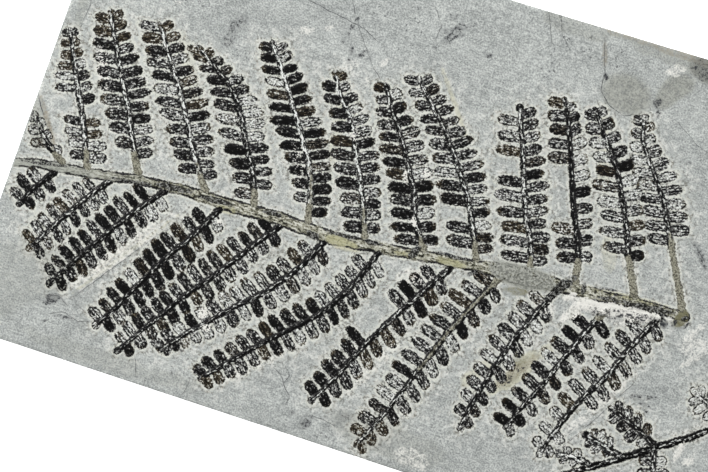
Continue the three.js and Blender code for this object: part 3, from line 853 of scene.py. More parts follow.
@dataclass(frozen=True)
class PinnaFilm:
    """The film of one pinna, laid on the map."""

    pinna: Pinna
    wear: Wear
    fullness: float
    longer: float
    rib_foot: float = 1.15
    rib_tip: float = 0.75
    shoulder: float = 0.58
    bluntness: float = 2.35
    seed: int = 5

    def lay(self, film: FilmMap) -> None:
        """Lays the midrib and then every pinnule.

        Args:
            film: The map.
        """
        owner = len(film.names)
        film.names.append(self.pinna.name)
        draw = np.random.default_rng(self.pinna.pinnules[0].number + self.seed)
        for pinnule in self.pinna.pinnules:
            self._lay_pinnule(film, pinnule, owner, draw)
        self._lay_midrib(film, owner)

    def _rib(self, x: Array, y: Array) -> tuple[Array, Array, Array]:
        """The way across and along the midrib, and how khaki it is.

        Args:
            x: Positions along the plate.
            y: Positions across it.

        Returns:
            The way across, the way along and the khaki share.
        """
        _, offset, station = self.pinna.midrib.beside(x, y)
        station = station - Pinna.INTO_RACHIS
        if self.wear.stalk == 0.0:
            return offset, station, np.zeros(np.shape(x))
        bare = ease(self.wear.bare + 1.5, self.wear.bare, station)
        khaki = 0.6 * ease(self.wear.stalk + 2.0, self.wear.stalk, station)
        return offset, station, np.maximum(bare, khaki)

    def _lay_midrib(self, film: FilmMap, owner: int) -> None:
        """Lays the midrib, which narrows to its tip.

        Args:
            film: The map.
            owner: The number of this node.
        """
        window = film.window(self.pinna.midrib.points, film.reach)
        x, y = film.x[window], film.y[window]
        across, along, khaki = self._rib(x, y)
        distance = np.abs(across)
        t = along / self.pinna.midrib.length
        half = self.rib_foot + (self.rib_tip - self.rib_foot) * t
        half = half + 0.5 * film.grain.layered(along, np.sign(across) * 3.0 + owner * 9.0, 2.2, 3)
        ridge = 0.2 * np.clip(1.0 - (distance / 0.75) ** 2, 0.0, 1.0)
        groove = 0.12 * np.exp(-((distance / 0.17) ** 2))
        film.lay(
            window, distance - half, owner, ridge - groove,
            lobe=(along, across, owner * 3.7),
            rib=(across, along, 1.0),
            look=(self.wear.lost * 0.5, 0.0, 0.0),
            tint=(khaki, self.wear.painted_glint, 0.0),
        )

    def _state(self, pinnule: Pinnule, draw: np.random.Generator) -> tuple[float, ...]:
        """How far a pinnule's film is lost, brown, striped and olive.

        Args:
            pinnule: The pinnule.
            draw: The pinna's random numbers.

        Returns:
            Four shares from 0 to 1.
        """
        lost = float(np.clip(self.wear.lost + 0.03 + 0.14 * draw.normal(), 0.0, 1.0))
        brown = float(draw.uniform() ** 4 * 0.66)
        striped = 0.8 * float(draw.uniform() < self.wear.lost * 0.12)
        olive = 0.0
        middle = (pinnule.foot + pinnule.tip * 2.0) / 3.0
        for spot in WORN:
            if np.hypot(middle[0] - spot.x, middle[1] - spot.y) > spot.radius:
                continue
            match spot.film:
                case Film.COAL:
                    lost, brown, striped = 0.0, 0.0, 0.0
                case Film.BROWN:
                    lost, brown = 0.4, 0.7
                case Film.OLIVE:
                    lost, olive = 0.35, 1.0
                case Film.STRIPED:
                    lost, striped = 0.5, 1.0
                case Film.PALE:
                    lost, striped = 0.76, 0.0
        return lost, brown, striped, olive

    def _lay_pinnule(self, film: FilmMap, pinnule: Pinnule, owner: int,
                     draw: np.random.Generator) -> None:
        """Lays one pinnule: straight sides, a slightly drawn-in foot and a blunt tip.

        Args:
            film: The map.
            pinnule: The pinnule.
            owner: The number of its node.
            draw: The pinna's random numbers.
        """
        way = (pinnule.tip - pinnule.foot) * self.longer * draw.uniform(0.93, 1.06)
        window = film.window(np.stack([pinnule.foot, pinnule.foot + way]), film.reach)
        x, y = film.x[window], film.y[window]
        length = float(np.hypot(*way))
        axis = way / length
        lost, brown, striped, olive = self._state(pinnule, draw)
        bend = 0.35 * draw.uniform(-1.0, 1.0)
        fullness = self.fullness + 0.06 * draw.normal()
        thin = draw.uniform(0.2, 0.95)
        along = (x - pinnule.foot[0]) * axis[0] + (y - pinnule.foot[1]) * axis[1]
        across = (y - pinnule.foot[1]) * axis[0] - (x - pinnule.foot[0]) * axis[1]
        across = across - bend * np.clip(along / length, 0.0, 1.0) ** 2
        half = pinnule.half_width * fullness
        start = self.shoulder * length
        side = half * (0.9 + 0.1 * ease(0.2 * length, 0.5 * length, along))
        straight = np.maximum(np.abs(across) - side, 0.6 * self.rib_tip - along)
        power = self.bluntness * draw.uniform(0.82, 1.15)
        past = np.maximum(along - start, 0.0) / (length - start)
        rounded = (past**power + (np.abs(across) / half) ** power) ** (1.0 / power)
        end = (rounded - 1.0) * min(half, length - start)
        edge = np.where(along > start, end, straight)
        vein = 0.09 * np.exp(-((across / 0.16) ** 2)) * ease(0.92 * length, 0.7 * length, along)
        ribs = 0.025 * np.sin(2.0 * math.pi * (along + 0.7 * np.abs(across)) / 0.9)
        rise = ribs - vein - 0.1 * lost
        rib_across, rib_along, khaki = self._rib(x, y)
        film.lay(
            window, edge, owner, rise,
            lobe=(along, across, float(pinnule.number)),
            rib=(rib_across, rib_along, 0.0),
            look=(lost, np.maximum(brown, thin * ease(0.55, 1.05, along / length)), striped),
            tint=(khaki * 0.3, self.wear.painted_glint, olive),
        )


@dataclass(frozen=True)
class RachisFilm:
    """The film of a rachis, laid on the map."""

    rachis: Rachis
    edge_wander: float
    ribbing: float
    painted_glint: float
    faint_for: float

    def lay(self, film: FilmMap) -> None:
        """Lays the rachis.

        Args:
            film: The map.
        """
        owner = len(film.names)
        film.names.append(self.rachis.name)
        window = film.window(self.rachis.middle.points, film.reach)
        x, y = film.x[window], film.y[window]
        distance, across, along = self.rachis.middle.beside(x, y)
        half = self.rachis.half_width(along)
        half = half + self.edge_wander * film.grain.layered(along, np.sign(across) * 40.0, 5.0, 3)
        streaks = film.grain.layered(along / 9.0, across / 0.7, 1.0, 2)
        scales = film.grain.layered(along, across * 2.0, 3.0, 2)
        rise = self.ribbing * (0.12 * streaks + 0.1 * scales) + 0.14
        film.lay(
            window, distance - half, owner, rise,
            lobe=(along, across, owner * 3.7),
            rib=(across, along, 1.0),
            look=(ease(self.faint_for, 0.0, along), 0.0, 0.0),
            tint=(0.0, self.painted_glint, 0.0),
        )


# ---- Finishes ----------------------------------------------------------------------------------


def linear(colour: str) -> tuple[float, float, float, float]:
    """Turns an sRGB hex colour to linear light.

    Args:
        colour: The colour, such as "#AEB2B1".

    Returns:
        Red, green, blue and an alpha of 1.
    """
    parts = [int(colour[k : k + 2], 16) / 255.0 for k in (1, 3, 5)]
    values = [p / 12.92 if p <= 0.04045 else ((p + 0.055) / 1.055) ** 2.4 for p in parts]
    return values[0], values[1], values[2], 1.0


def per_metre(size: float) -> float:
    """The texture scale that gives features of a size in millimetres."""
    return 1.0 / (size * MM)


Socket = bpy.types.NodeSocket
Value = float | tuple | Socket

# The setting of a Mix node that lays one colour over another.
COLOURS = "RGBA"


class Sheet:
    """A material's node tree."""

    def __init__(self, name: str) -> None:
        """Makes an empty material.

        Args:
            name: The material's name.
        """
        self.material = bpy.data.materials.new(name)
        self.material.use_nodes = True
        self.material.node_tree.nodes.clear()

    def add(self, kind: str, inputs: dict[str | int, Value] | None = None,
            output: str | int | None = None, **settings: object) -> Socket:
        """Adds a node with its settings and links.

        Args:
            kind: The node's type, without "ShaderNode".
            inputs: What each input socket is set to, or the socket that it is linked to.
            output: The output wanted, if it isn't the first.
            **settings: The node's own settings.

        Returns:
            The output socket.
        """
        tree = self.material.node_tree
        node = tree.nodes.new("ShaderNode" + kind)
        for key, value in settings.items():
            setattr(node, key, value)
        for key, value in (inputs or {}).items():
            shown = [s for s in node.inputs if s.enabled]
            socket = shown[key] if isinstance(key, int) else next(s for s in shown if s.name == key)
            if isinstance(value, Socket):
                tree.links.new(value, socket)
            else:
                socket.default_value = value
        if kind.startswith("Output"):
            return node.inputs[0]
        if output is None:
            return next(s for s in node.outputs if s.enabled)
        return node.outputs[output]


@dataclass(frozen=True)
class Shale:
    """Carbonaceous grey shale, split along its bedding.

    Split shale is matt and faintly mottled, with fine silt grains, light scuffs and stray specks
    of carbon. Where the frond pushed the clay aside it is creamier.
    """

    name: str = "split grey shale"
    ground: str = "#B1B5B3"
    light: str = "#D8DCD7"
    dark: str = "#8C908E"
    rim: str = "#E2E3D9"
    grime: str = "#5C5A50"
    soot: str = "#36383C"
    buff: str = "#CBC8AB"
    chalk: str = "#F0EFE8"
    fine_dark: str = "#7A7C77"
    fine: str = "#96988F"
    fine_pale: str = "#B0B2AA"
    # Iron stain, and also the painted shadow beside the frond's raised rim.
    rust_and_rim_shadow: str = "#857A63"
    moss: str = "#77755A"
    ior: float = 1.55
    roughness: float = 0.86
    sheen: float = 0.5

    def grain(self, sheet: Sheet, place: Socket, size: float, detail: float = 2.0,
              spread: float = 0.14) -> Socket:
        """Adds a noise that is stretched to fill the range from 0 to 1.

        Args:
            sheet: The material being made.
            place: The position that it follows.
            size: The size of its features, in the position's own unit.
            detail: How many finer layers it has.
            spread: How far from its middle the raw noise reaches.

        Returns:
            The stretched noise.
        """
        raw = sheet.add("TexNoise", {"Vector": place, "Scale": 1.0 / size, "Detail": detail,
                                     "Roughness": 0.6})
        return sheet.add("MapRange", {"Value": raw, "From Min": 0.5 - spread,
                                      "From Max": 0.5 + spread})

    def graded(self, sheet: Sheet, value: Socket, steps: tuple[tuple[float, float, str], ...],
               first: str) -> Socket:
        """Colours a value in steps, each of which fades in over the ones before.

        Args:
            sheet: The material being made.
            value: The value.
            steps: Where each step starts and is full, and its colour.
            first: The colour below the first step.

        Returns:
            The colour.
        """
        colour: Value = linear(first)
        for low, high, shade in steps:
            share = sheet.add("MapRange", {"Value": value, "From Min": low, "From Max": high})
            colour = sheet.add("Mix", {"Factor": share, "A": colour, "B": linear(shade)},
                               data_type=COLOURS)
        return colour

    def colour_and_height(self, sheet: Sheet) -> tuple[Socket, Socket]:
        """Adds the rock's colour and its fine relief.

        Args:
            sheet: The material being made.

        Returns:
            The colour and the height, from about 0 to 1.
        """
        place = sheet.add("TexCoord", output="Object")
        edge = sheet.add("Attribute", output="Fac", attribute_name="edge")
        cloud = self.grain(sheet, place, 15.0 * MM, 3.0)
        mottle = self.grain(sheet, place, 2.4 * MM, 3.0)
        # Silt grains are 0.06 mm and would not show: they are drawn at 0.5 mm.
        silt = self.grain(sheet, place, 0.5 * MM)
        grit = self.grain(sheet, place, 0.9 * MM, 3.0)
        shade = self._weigh(sheet, ((cloud, 0.16), (mottle, 0.2), (silt, 0.58)))
        colour = self.graded(sheet, shade, ((0.15, 0.47, self.ground), (0.47, 0.85, self.light)),
                             self.dark)
        colour = self._scuffs(sheet, place, colour)
        colour = self._specks(sheet, place, colour)
        colour = self._rim(sheet, edge, mottle, silt, colour)
        colour = self._crumbs(sheet, edge, mottle, grit, colour)
        colour = self._stains(sheet, mottle, silt, grit, colour)
        height = self._weigh(sheet, ((mottle, 0.5), (silt, 0.5)))
        return colour, height

    def _weigh(self, sheet: Sheet, parts: tuple[tuple[Socket, float], ...]) -> Socket:
        """Adds up several values, each times its weight.

        Args:
            sheet: The material being made.
            parts: The values and their weights.

        Returns:
            The sum.
        """
        total: Value = 0.0
        for value, weight in parts:
            total = sheet.add("Math", {0: value, 1: weight, 2: total}, operation="MULTIPLY_ADD")
        return total

    def _scuffs(self, sheet: Sheet, place: Socket, colour: Socket) -> Socket:
        """Adds short scuffs, about 0.4 mm wide and 4 mm long, pale one way and dark the other.

        Args:
            sheet: The material being made.
            place: The position on the plate.
            colour: The colour so far.

        Returns:
            The colour.
        """
        for turn, stretch, shade in ((0.5, 9.0, self.light), (1.9, 7.0, self.dark)):
            turned = sheet.add("Mapping", {"Vector": place, "Rotation": (0.0, 0.0, turn),
                                           "Scale": (1.0, stretch, 1.0)})
            lines = self.grain(sheet, turned, 4.0 * MM)
            mask = sheet.add("MapRange", {"Value": lines, "From Min": 0.8, "From Max": 1.0,
                                          "To Max": 0.4})
            colour = sheet.add("Mix", {"Factor": mask, "A": colour, "B": linear(shade)},
                               data_type=COLOURS)
        return colour

    def _specks(self, sheet: Sheet, place: Socket, colour: Socket) -> Socket:
        """Adds sparse specks of carbon, up to 0.6 mm across, in loose crowds.

        Args:
            sheet: The material being made.
            place: The position on the plate.
            colour: The colour so far.

        Returns:
            The colour.
        """
        specks = self.grain(sheet, place, 1.1 * MM, spread=0.2)
        crowd = self.grain(sheet, place, 22.0 * MM)
        both = self._weigh(sheet, ((specks, 0.8), (crowd, 0.3)))
        mask = sheet.add("MapRange", {"Value": both, "From Min": 0.93, "From Max": 1.05,
                                      "To Max": 0.65})
        return sheet.add("Mix", {"Factor": mask, "A": colour, "B": linear(self.soot)},
                         data_type=COLOURS)

    def _rim(self, sheet: Sheet, edge: Socket, mottle: Socket, silt: Socket,
             colour: Socket) -> Socket:
        """Adds the cream rim that follows the frond's outline, and a darker line outside it, a
        painted shadow in the low ground beside the raised rim.

        Args:
            sheet: The material being made.
            edge: The distance to the film's edge.
            mottle: Noise of 2.4 mm.
            silt: Noise of 0.5 mm.
            colour: The colour so far.

        Returns:
            The colour.
        """
        rough = sheet.add("Math", {0: silt, 1: 0.3, 2: edge}, operation="MULTIPLY_ADD")
        wander = sheet.add("Math", {0: mottle, 1: 0.7, 2: rough}, operation="MULTIPLY_ADD")
        wide = sheet.add("MapRange", {"Value": wander, "From Min": 3.4, "From Max": 1.0,
                                      "To Max": 0.35})
        colour = sheet.add("Mix", {"Factor": wide, "A": colour, "B": linear(self.light)},
                           data_type=COLOURS)
        # The broken darker line beyond the rim is a painted shadow beside the raised rim.
        out = sheet.add("MapRange", {"Value": wander, "From Min": 1.9, "From Max": 1.5})
        inside = sheet.add("MapRange", {"Value": wander, "From Min": 1.2, "From Max": 1.5})
        line = sheet.add("Math", {0: out, 1: inside}, operation="MULTIPLY")
        broken = sheet.add("MapRange", {"Value": mottle, "From Min": 0.35, "From Max": 0.7,
                                        "To Max": 0.5})
        line = sheet.add("Math", {0: line, 1: broken}, operation="MULTIPLY")
        colour = sheet.add("Mix", {"Factor": line, "A": colour, "B": linear(self.rust_and_rim_shadow)},
                           data_type=COLOURS)
        near = sheet.add("MapRange", {"Value": wander, "From Min": 1.2, "From Max": 0.8,
                                      "To Max": 0.9})
        patchy = sheet.add("MapRange", {"Value": silt, "To Min": 0.5, "To Max": 1.15})
        near = sheet.add("Math", {0: near, 1: patchy}, operation="MULTIPLY", use_clamp=True)
        return sheet.add("Mix", {"Factor": near, "A": colour, "B": linear(self.rim)},
                         data_type=COLOURS)

    def _crumbs(self, sheet: Sheet, edge: Socket, mottle: Socket, grit: Socket,
                colour: Socket) -> Socket:
        """Adds the crumbled clay beside the frond: white ridges, and grains of its lost coal.

        Args:
            sheet: The material being made.
            edge: The distance to the film's edge.
            mottle: Noise of 2.4 mm.
            grit: Noise of 0.9 mm.
            colour: The colour so far.

        Returns:
            The colour.
        """
        ridges = self._weigh(sheet, ((mottle, 0.6), (grit, 0.4)))
        for noise, (far, close), (least, most), cover, shade in (
                (ridges, (7.0, 1.5), (0.52, 0.9), 0.5, self.chalk),
                (grit, (3.6, 0.8), (0.32, 0.14), 0.6, self.grime)):
            reach = sheet.add("MapRange", {"Value": edge, "From Min": far, "From Max": close,
                                           "To Max": cover})
            fleck = sheet.add("MapRange", {"Value": noise, "From Min": least, "From Max": most})
            mask = sheet.add("Math", {0: reach, 1: fleck}, operation="MULTIPLY")
            colour = sheet.add("Mix", {"Factor": mask, "A": colour, "B": linear(shade)},
                               data_type=COLOURS)
        return colour

    def lamina(self, sheet: Sheet, grain: Socket) -> Socket:
        """The colour of a finer, darker lamina: grey, with paler and darker silt in it.

        Args:
            sheet: The material being made.
            grain: The noise that it follows.

        Returns:
            The colour.
        """
        return self.graded(sheet, grain, ((0.3, 0.45, self.fine), (0.56, 0.74, self.fine_pale)),
                           self.fine_dark)

    def _stains(self, sheet: Sheet, mottle: Socket, silt: Socket, grit: Socket,
                colour: Socket) -> Socket:
        """Adds the stains, each broken up by the rock's grain.

        Args:
            sheet: The material being made.
            mottle: Noise of 2.4 mm.
            silt: Noise of 0.5 mm.
            grit: Noise of 0.9 mm.
            colour: The colour so far.

        Returns:
            The colour.
        """
        first = sheet.add("Attribute", output="Vector", attribute_name="stain")
        second = sheet.add("Attribute", output="Vector", attribute_name="lamina")
        grain = self._weigh(sheet, ((mottle, 0.25), (silt, 0.35), (grit, 0.4)))
        layers = (
            (first, "Y", linear(self.buff), 0.5, 0.6, 0.7),
            (second, "X", self.lamina(sheet, grain), 0.5, 0.5, 0.9),
            (second, "Y", linear(self.rust_and_rim_shadow), 0.5, 1.1, 0.8),
            (second, "Z", linear(self.moss), 0.5, 1.4, 0.85),
            (first, "Z", linear(self.chalk), 0.5, 1.8, 0.85),
            (first, "X", linear(self.soot), 0.6, 3.2, 0.85),
        )
        for source, axis, stain, middle, bite, most in layers:
            amount = sheet.add("SeparateXYZ", {"Vector": source}, output=axis)
            break_up = sheet.add("Math", {0: grain, 1: -middle}, operation="ADD")
            broken = sheet.add("Math", {0: break_up, 1: bite, 2: amount},
                               operation="MULTIPLY_ADD")
            present = sheet.add("MapRange", {"Value": amount, "From Min": 0.02, "From Max": 0.3,
                                             "To Max": most})
            mask = sheet.add("Math", {0: broken, 1: present}, operation="MULTIPLY", use_clamp=True)
            colour = sheet.add("Mix", {"Factor": mask, "A": colour, "B": stain}, data_type=COLOURS)
        return colour

    def finish(self, sheet: Sheet, colour: Socket, roughness: Value, height: Socket,
               depth: float) -> bpy.types.Material:
        """Adds the surface itself.

        Args:
            sheet: The material being made.
            colour: Its colour.
            roughness: Its roughness.
            height: Its fine relief.
            depth: How deep that relief is, in millimetres.

        Returns:
            The material.
        """
        normal = sheet.add("Bump", {"Height": height, "Distance": depth * MM, "Strength": 1.0})
        surface = sheet.add("BsdfPrincipled", {"Base Color": colour, "Roughness": roughness,
                                               "IOR": self.ior, "Normal": normal,
                                               "Specular IOR Level": self.sheen})
        sheet.add("OutputMaterial", {"Surface": surface})
        return sheet.material

    def material(self) -> bpy.types.Material:
        """Makes the finish of the plate.

        Returns:
            The material.
        """
        sheet = Sheet(self.name)
        colour, height = self.colour_and_height(sheet)
        return self.finish(sheet, colour, self.roughness, height, 0.1)


@dataclass(frozen=True)
class PressedLeaf(Shale):
    """Coalified leaf, pressed flat: a glossy black skin of vitrain on the shale.

    Vitrain is jet black and shines where it is whole. It cracks and flakes as it dries, which shows
    as pale clay where it is gone, flecked with white glints that are painted highlights. Where it
    is thin it is brown.
    """

    name: str = "vitrain leaf film"
    coal: str = "#090909"
    scuffed: str = "#434244"
    ash: str = "#8F908C"
    skin_dark: str = "#2F281D"
    skin_pale: str = "#867C65"
    olive: str = "#7E7B64"
    bare: str = "#AEB1A9"
    # The colour of the painted white highlights on the film.
    painted_glint: str = "#F0F2EF"
    stalk_dark: str = "#54524A"
    khaki: str = "#898776"
    stalk_pale: str = "#A9A899"
    cleat: float = 0.8
    coal_roughness: float = 0.4
    sheen: float = 0.14

    def material(self) -> bpy.types.Material:
        """Makes the finish of a film and the clay beside it.

        Returns:
            The material.
        """
        sheet = Sheet(self.name)
        rock, rock_height = self.colour_and_height(sheet)
        place = sheet.add("TexCoord", output="Object")
        edge = sheet.add("Attribute", output="Fac", attribute_name="edge")
        flake = self.grain(sheet, place, 1.2 * MM, 3.0)
        crumb = self.grain(sheet, place, 0.55 * MM)
        film, gone = self._lobes(sheet, edge, flake, crumb)
        film = self._rib_over(sheet, film, flake, crumb)
        film = self._covers(sheet, film, flake, crumb)
        ragged = sheet.add("Math", {0: crumb, 1: 0.3, 2: edge}, operation="MULTIPLY_ADD")
        on_film = sheet.add("MapRange", {"Value": ragged, "From Min": 0.24, "From Max": 0.06})
        colour = sheet.add("Mix", {"Factor": on_film, "A": rock, "B": film}, data_type=COLOURS)
        shine = sheet.add("Math", {0: gone, 1: -0.9, 2: 1.0}, operation="MULTIPLY_ADD")
        shine = sheet.add("Math", {0: shine, 1: on_film}, operation="MULTIPLY")
        rough = sheet.add("MapRange", {"Value": shine, "To Min": self.roughness,
                                       "To Max": self.coal_roughness})
        cracks = sheet.add("TexVoronoi", {"Vector": place, "Scale": per_metre(self.cleat)},
                           feature="DISTANCE_TO_EDGE")
        cracks = sheet.add("MapRange", {"Value": cracks, "From Max": 0.12, "To Max": 0.5})
        skin = sheet.add("Math", {0: flake, 1: 0.7, 2: cracks}, operation="MULTIPLY_ADD")
        skin = sheet.add("Math", {0: skin, 1: 0.55}, operation="MULTIPLY")
        height = sheet.add("Mix", {"Factor": on_film, "A": rock_height, "B": skin},
                           data_type="FLOAT")
        return self.finish(sheet, colour, rough, height, 0.1)

    def _lobes(self, sheet: Sheet, edge: Socket, flake: Socket,
               crumb: Socket) -> tuple[Socket, Socket]:
        """Adds the colour of the pinnules.

        Args:
            sheet: The material being made.
            edge: The distance to the film's edge.
            flake: Noise of 1.2 mm.
            crumb: Noise of 0.55 mm.

        Returns:
            The colour, and where the film is gone.
        """
        look = sheet.add("Attribute", output="Vector", attribute_name="look")
        lobe = sheet.add("Attribute", output="Vector", attribute_name="lobe")
        tint = sheet.add("Attribute", output="Vector", attribute_name="tint")
        lost = sheet.add("SeparateXYZ", {"Vector": look}, output="X")
        brown = sheet.add("SeparateXYZ", {"Vector": look}, output="Y")
        striped = sheet.add("SeparateXYZ", {"Vector": look}, output="Z")
        across = sheet.add("SeparateXYZ", {"Vector": lobe}, output="Y")
        olive = sheet.add("SeparateXYZ", {"Vector": tint}, output="Z")
        # The film tears along the pinnule: streaks 0.45 mm wide and 1.5 mm long.
        # Their paler parts are partly worn film and partly painted highlights along the pinnule.
        drawn = sheet.add("Mapping", {"Vector": lobe, "Scale": (0.3, 1.0, 5.3)})
        streak = self.grain(sheet, drawn, 0.45, 3.0)
        wear = self._weigh(sheet, ((streak, 0.42), (flake, 0.26), (crumb, 0.32)))
        # Stripes 0.9 mm apart along the pinnule.
        phase = sheet.add("Math", {0: flake, 1: 3.6, 2: sheet.add(
            "Math", {0: across, 1: 7.0}, operation="MULTIPLY")}, operation="MULTIPLY_ADD")
        wave = sheet.add("Math", {0: phase}, operation="SINE")
        wave = sheet.add("Math", {0: wave, 1: striped}, operation="MULTIPLY")
        wear = sheet.add("Math", {0: wave, 1: 0.15, 2: wear}, operation="MULTIPLY_ADD")
        # The film goes first from the middle of a pinnule, so its outline lasts longest.
        inner = sheet.add("MapRange", {"Value": edge, "From Min": -0.05, "From Max": -0.5})
        loss = sheet.add("MapRange", {"Value": lost, "To Min": -0.27, "To Max": 0.36})
        loss = sheet.add("Math", {0: loss, 1: inner}, operation="MULTIPLY")
        held = sheet.add("MapRange", {"Value": inner, "To Min": -0.1, "To Max": 0.0})
        wear = sheet.add("Math", {0: wear, 1: loss}, operation="ADD")
        wear = sheet.add("Math", {0: wear, 1: held}, operation="ADD")
        colour = self.graded(sheet, wear, ((0.43, 0.53, self.scuffed), (0.53, 0.64, self.ash)),
                             self.coal)
        skin = sheet.add("Math", {0: streak, 1: 0.6, 2: brown}, operation="MULTIPLY_ADD")
        skin = sheet.add("MapRange", {"Value": skin, "From Min": 0.7, "From Max": 1.1,
                                      "To Max": 0.9})
        tan = self.graded(sheet, wear, ((0.45, 0.7, self.skin_pale),), self.skin_dark)
        colour = sheet.add("Mix", {"Factor": skin, "A": colour, "B": tan}, data_type=COLOURS)
        altered = sheet.add("Math", {0: flake, 1: 0.6, 2: olive}, operation="MULTIPLY_ADD")
        altered = sheet.add("MapRange", {"Value": altered, "From Min": 1.0, "From Max": 1.35,
                                         "To Max": 0.7})
        colour = sheet.add("Mix", {"Factor": altered, "A": colour, "B": linear(self.olive)},
                           data_type=COLOURS)
        gone = sheet.add("MapRange", {"Value": wear, "From Min": 0.65, "From Max": 0.73})
        # Where the film is gone, bare clay shows, flecked with painted white highlights.
        pale = self.graded(sheet, crumb, ((0.35, 0.9, self.painted_glint),), self.bare)
        colour = sheet.add("Mix", {"Factor": gone, "A": colour, "B": pale}, data_type=COLOURS)
        return colour, gone

    def _rib_over(self, sheet: Sheet, film: Socket, flake: Socket, crumb: Socket) -> Socket:
        """Adds the midrib: black, with pale streaks along it of bare clay and painted highlights,
        and khaki where its film is gone.

        Args:
            sheet: The material being made.
            film: The colour of the film so far.
            flake: Noise of 1.2 mm.
            crumb: Noise of 0.55 mm.

        Returns:
            The colour.
        """
        rib = sheet.add("Attribute", output="Vector", attribute_name="rib")
        tint = sheet.add("Attribute", output="Vector", attribute_name="tint")
        across = sheet.add("SeparateXYZ", {"Vector": rib}, output="X")
        on_rib = sheet.add("SeparateXYZ", {"Vector": rib}, output="Z")
        khaki = sheet.add("SeparateXYZ", {"Vector": tint}, output="X")
        pale = sheet.add("SeparateXYZ", {"Vector": tint}, output="Y")
        # Streaks about 0.35 mm wide and 1.8 mm long.
        drawn = sheet.add("Mapping", {"Vector": rib, "Scale": (1.0, 0.2, 1.0)})
        streak = self.grain(sheet, drawn, 0.35, 1.0)
        patch = self.grain(sheet, sheet.add("Mapping", {"Vector": rib, "Scale": (0.3, 1.0, 1.0)}),
                           3.0)
        fleck = self._weigh(sheet, ((streak, 0.4), (crumb, 0.3), (flake, 0.3)))
        level = sheet.add("MapRange", {"Value": pale, "To Min": -0.3, "To Max": 0.12})
        # The pale line down the middle, a painted highlight, wanders 0.3 mm to either side.
        strayed = sheet.add("Math", {0: patch, 1: 0.6, 2: across}, operation="MULTIPLY_ADD")
        strayed = sheet.add("Math", {0: strayed, 1: 0.3}, operation="SUBTRACT")
        middle = sheet.add("Math", {0: strayed}, operation="ABSOLUTE")
        middle = sheet.add("MapRange", {"Value": middle, "From Min": 0.1, "From Max": 0.65,
                                        "To Min": 0.08, "To Max": -0.25})
        fleck = sheet.add("Math", {0: fleck, 1: level}, operation="ADD")
        fleck = sheet.add("Math", {0: fleck, 1: middle}, operation="ADD")
        # The flecks grade from black through grey and bare clay to painted white highlights.
        colour = self.graded(sheet, fleck, (
            (0.37, 0.44, self.scuffed), (0.46, 0.52, self.ash), (0.52, 0.57, self.bare),
            (0.57, 0.66, self.painted_glint)), self.coal)
        grains = self._weigh(sheet, ((crumb, 0.7), (streak, 0.15), (flake, 0.15)))
        bare = self.graded(sheet, grains, ((0.3, 0.45, self.khaki), (0.56, 0.72, self.stalk_pale)),
                           self.stalk_dark)
        whole = sheet.add("Math", {0: flake, 1: 0.3, 2: khaki}, operation="MULTIPLY_ADD")
        away = sheet.add("Math", {0: across}, operation="ABSOLUTE")
        whole = sheet.add("Math", {0: away, 1: -0.35, 2: whole}, operation="MULTIPLY_ADD")
        whole = sheet.add("MapRange", {"Value": whole, "From Min": 0.55, "From Max": 0.75})
        colour = sheet.add("Mix", {"Factor": whole, "A": colour, "B": bare}, data_type=COLOURS)
        return sheet.add("Mix", {"Factor": on_rib, "A": film, "B": colour}, data_type=COLOURS)

    def _covers(self, sheet: Sheet, film: Socket, flake: Socket, crumb: Socket) -> Socket:
        """Adds the chalk, the clays and the loose coal that lie over the film.

        Args:
            sheet: The material being made.
            film: The colour of the film so far.
            flake: Noise of 1.2 mm.
            crumb: Noise of 0.55 mm.

        Returns:
            The colour.
        """
        stain = sheet.add("Attribute", output="Vector", attribute_name="stain")
        lamina = sheet.add("Attribute", output="Vector", attribute_name="lamina")
        patch = self._weigh(sheet, ((crumb, 0.45), (flake, 0.55)))
        grain = sheet.add("Math", {0: patch, 1: -0.5}, operation="ADD")
        black = self.graded(sheet, crumb, ((0.55, 0.85, self.ash),), self.coal)
        for source, axis, colour in ((stain, "Z", linear(self.chalk)),
                                     (lamina, "X", self.lamina(sheet, crumb)),
                                     (lamina, "Z", linear(self.moss)), (stain, "X", black)):
            amount = sheet.add("SeparateXYZ", {"Vector": source}, output=axis)
            mask = sheet.add("Math", {0: grain, 1: 1.5, 2: amount}, operation="MULTIPLY_ADD")
            mask = sheet.add("MapRange", {"Value": mask, "From Min": 0.62, "From Max": 0.8,
                                          "To Max": 0.95})
            film = sheet.add("Mix", {"Factor": mask, "A": film, "B": colour}, data_type=COLOURS)
        return film


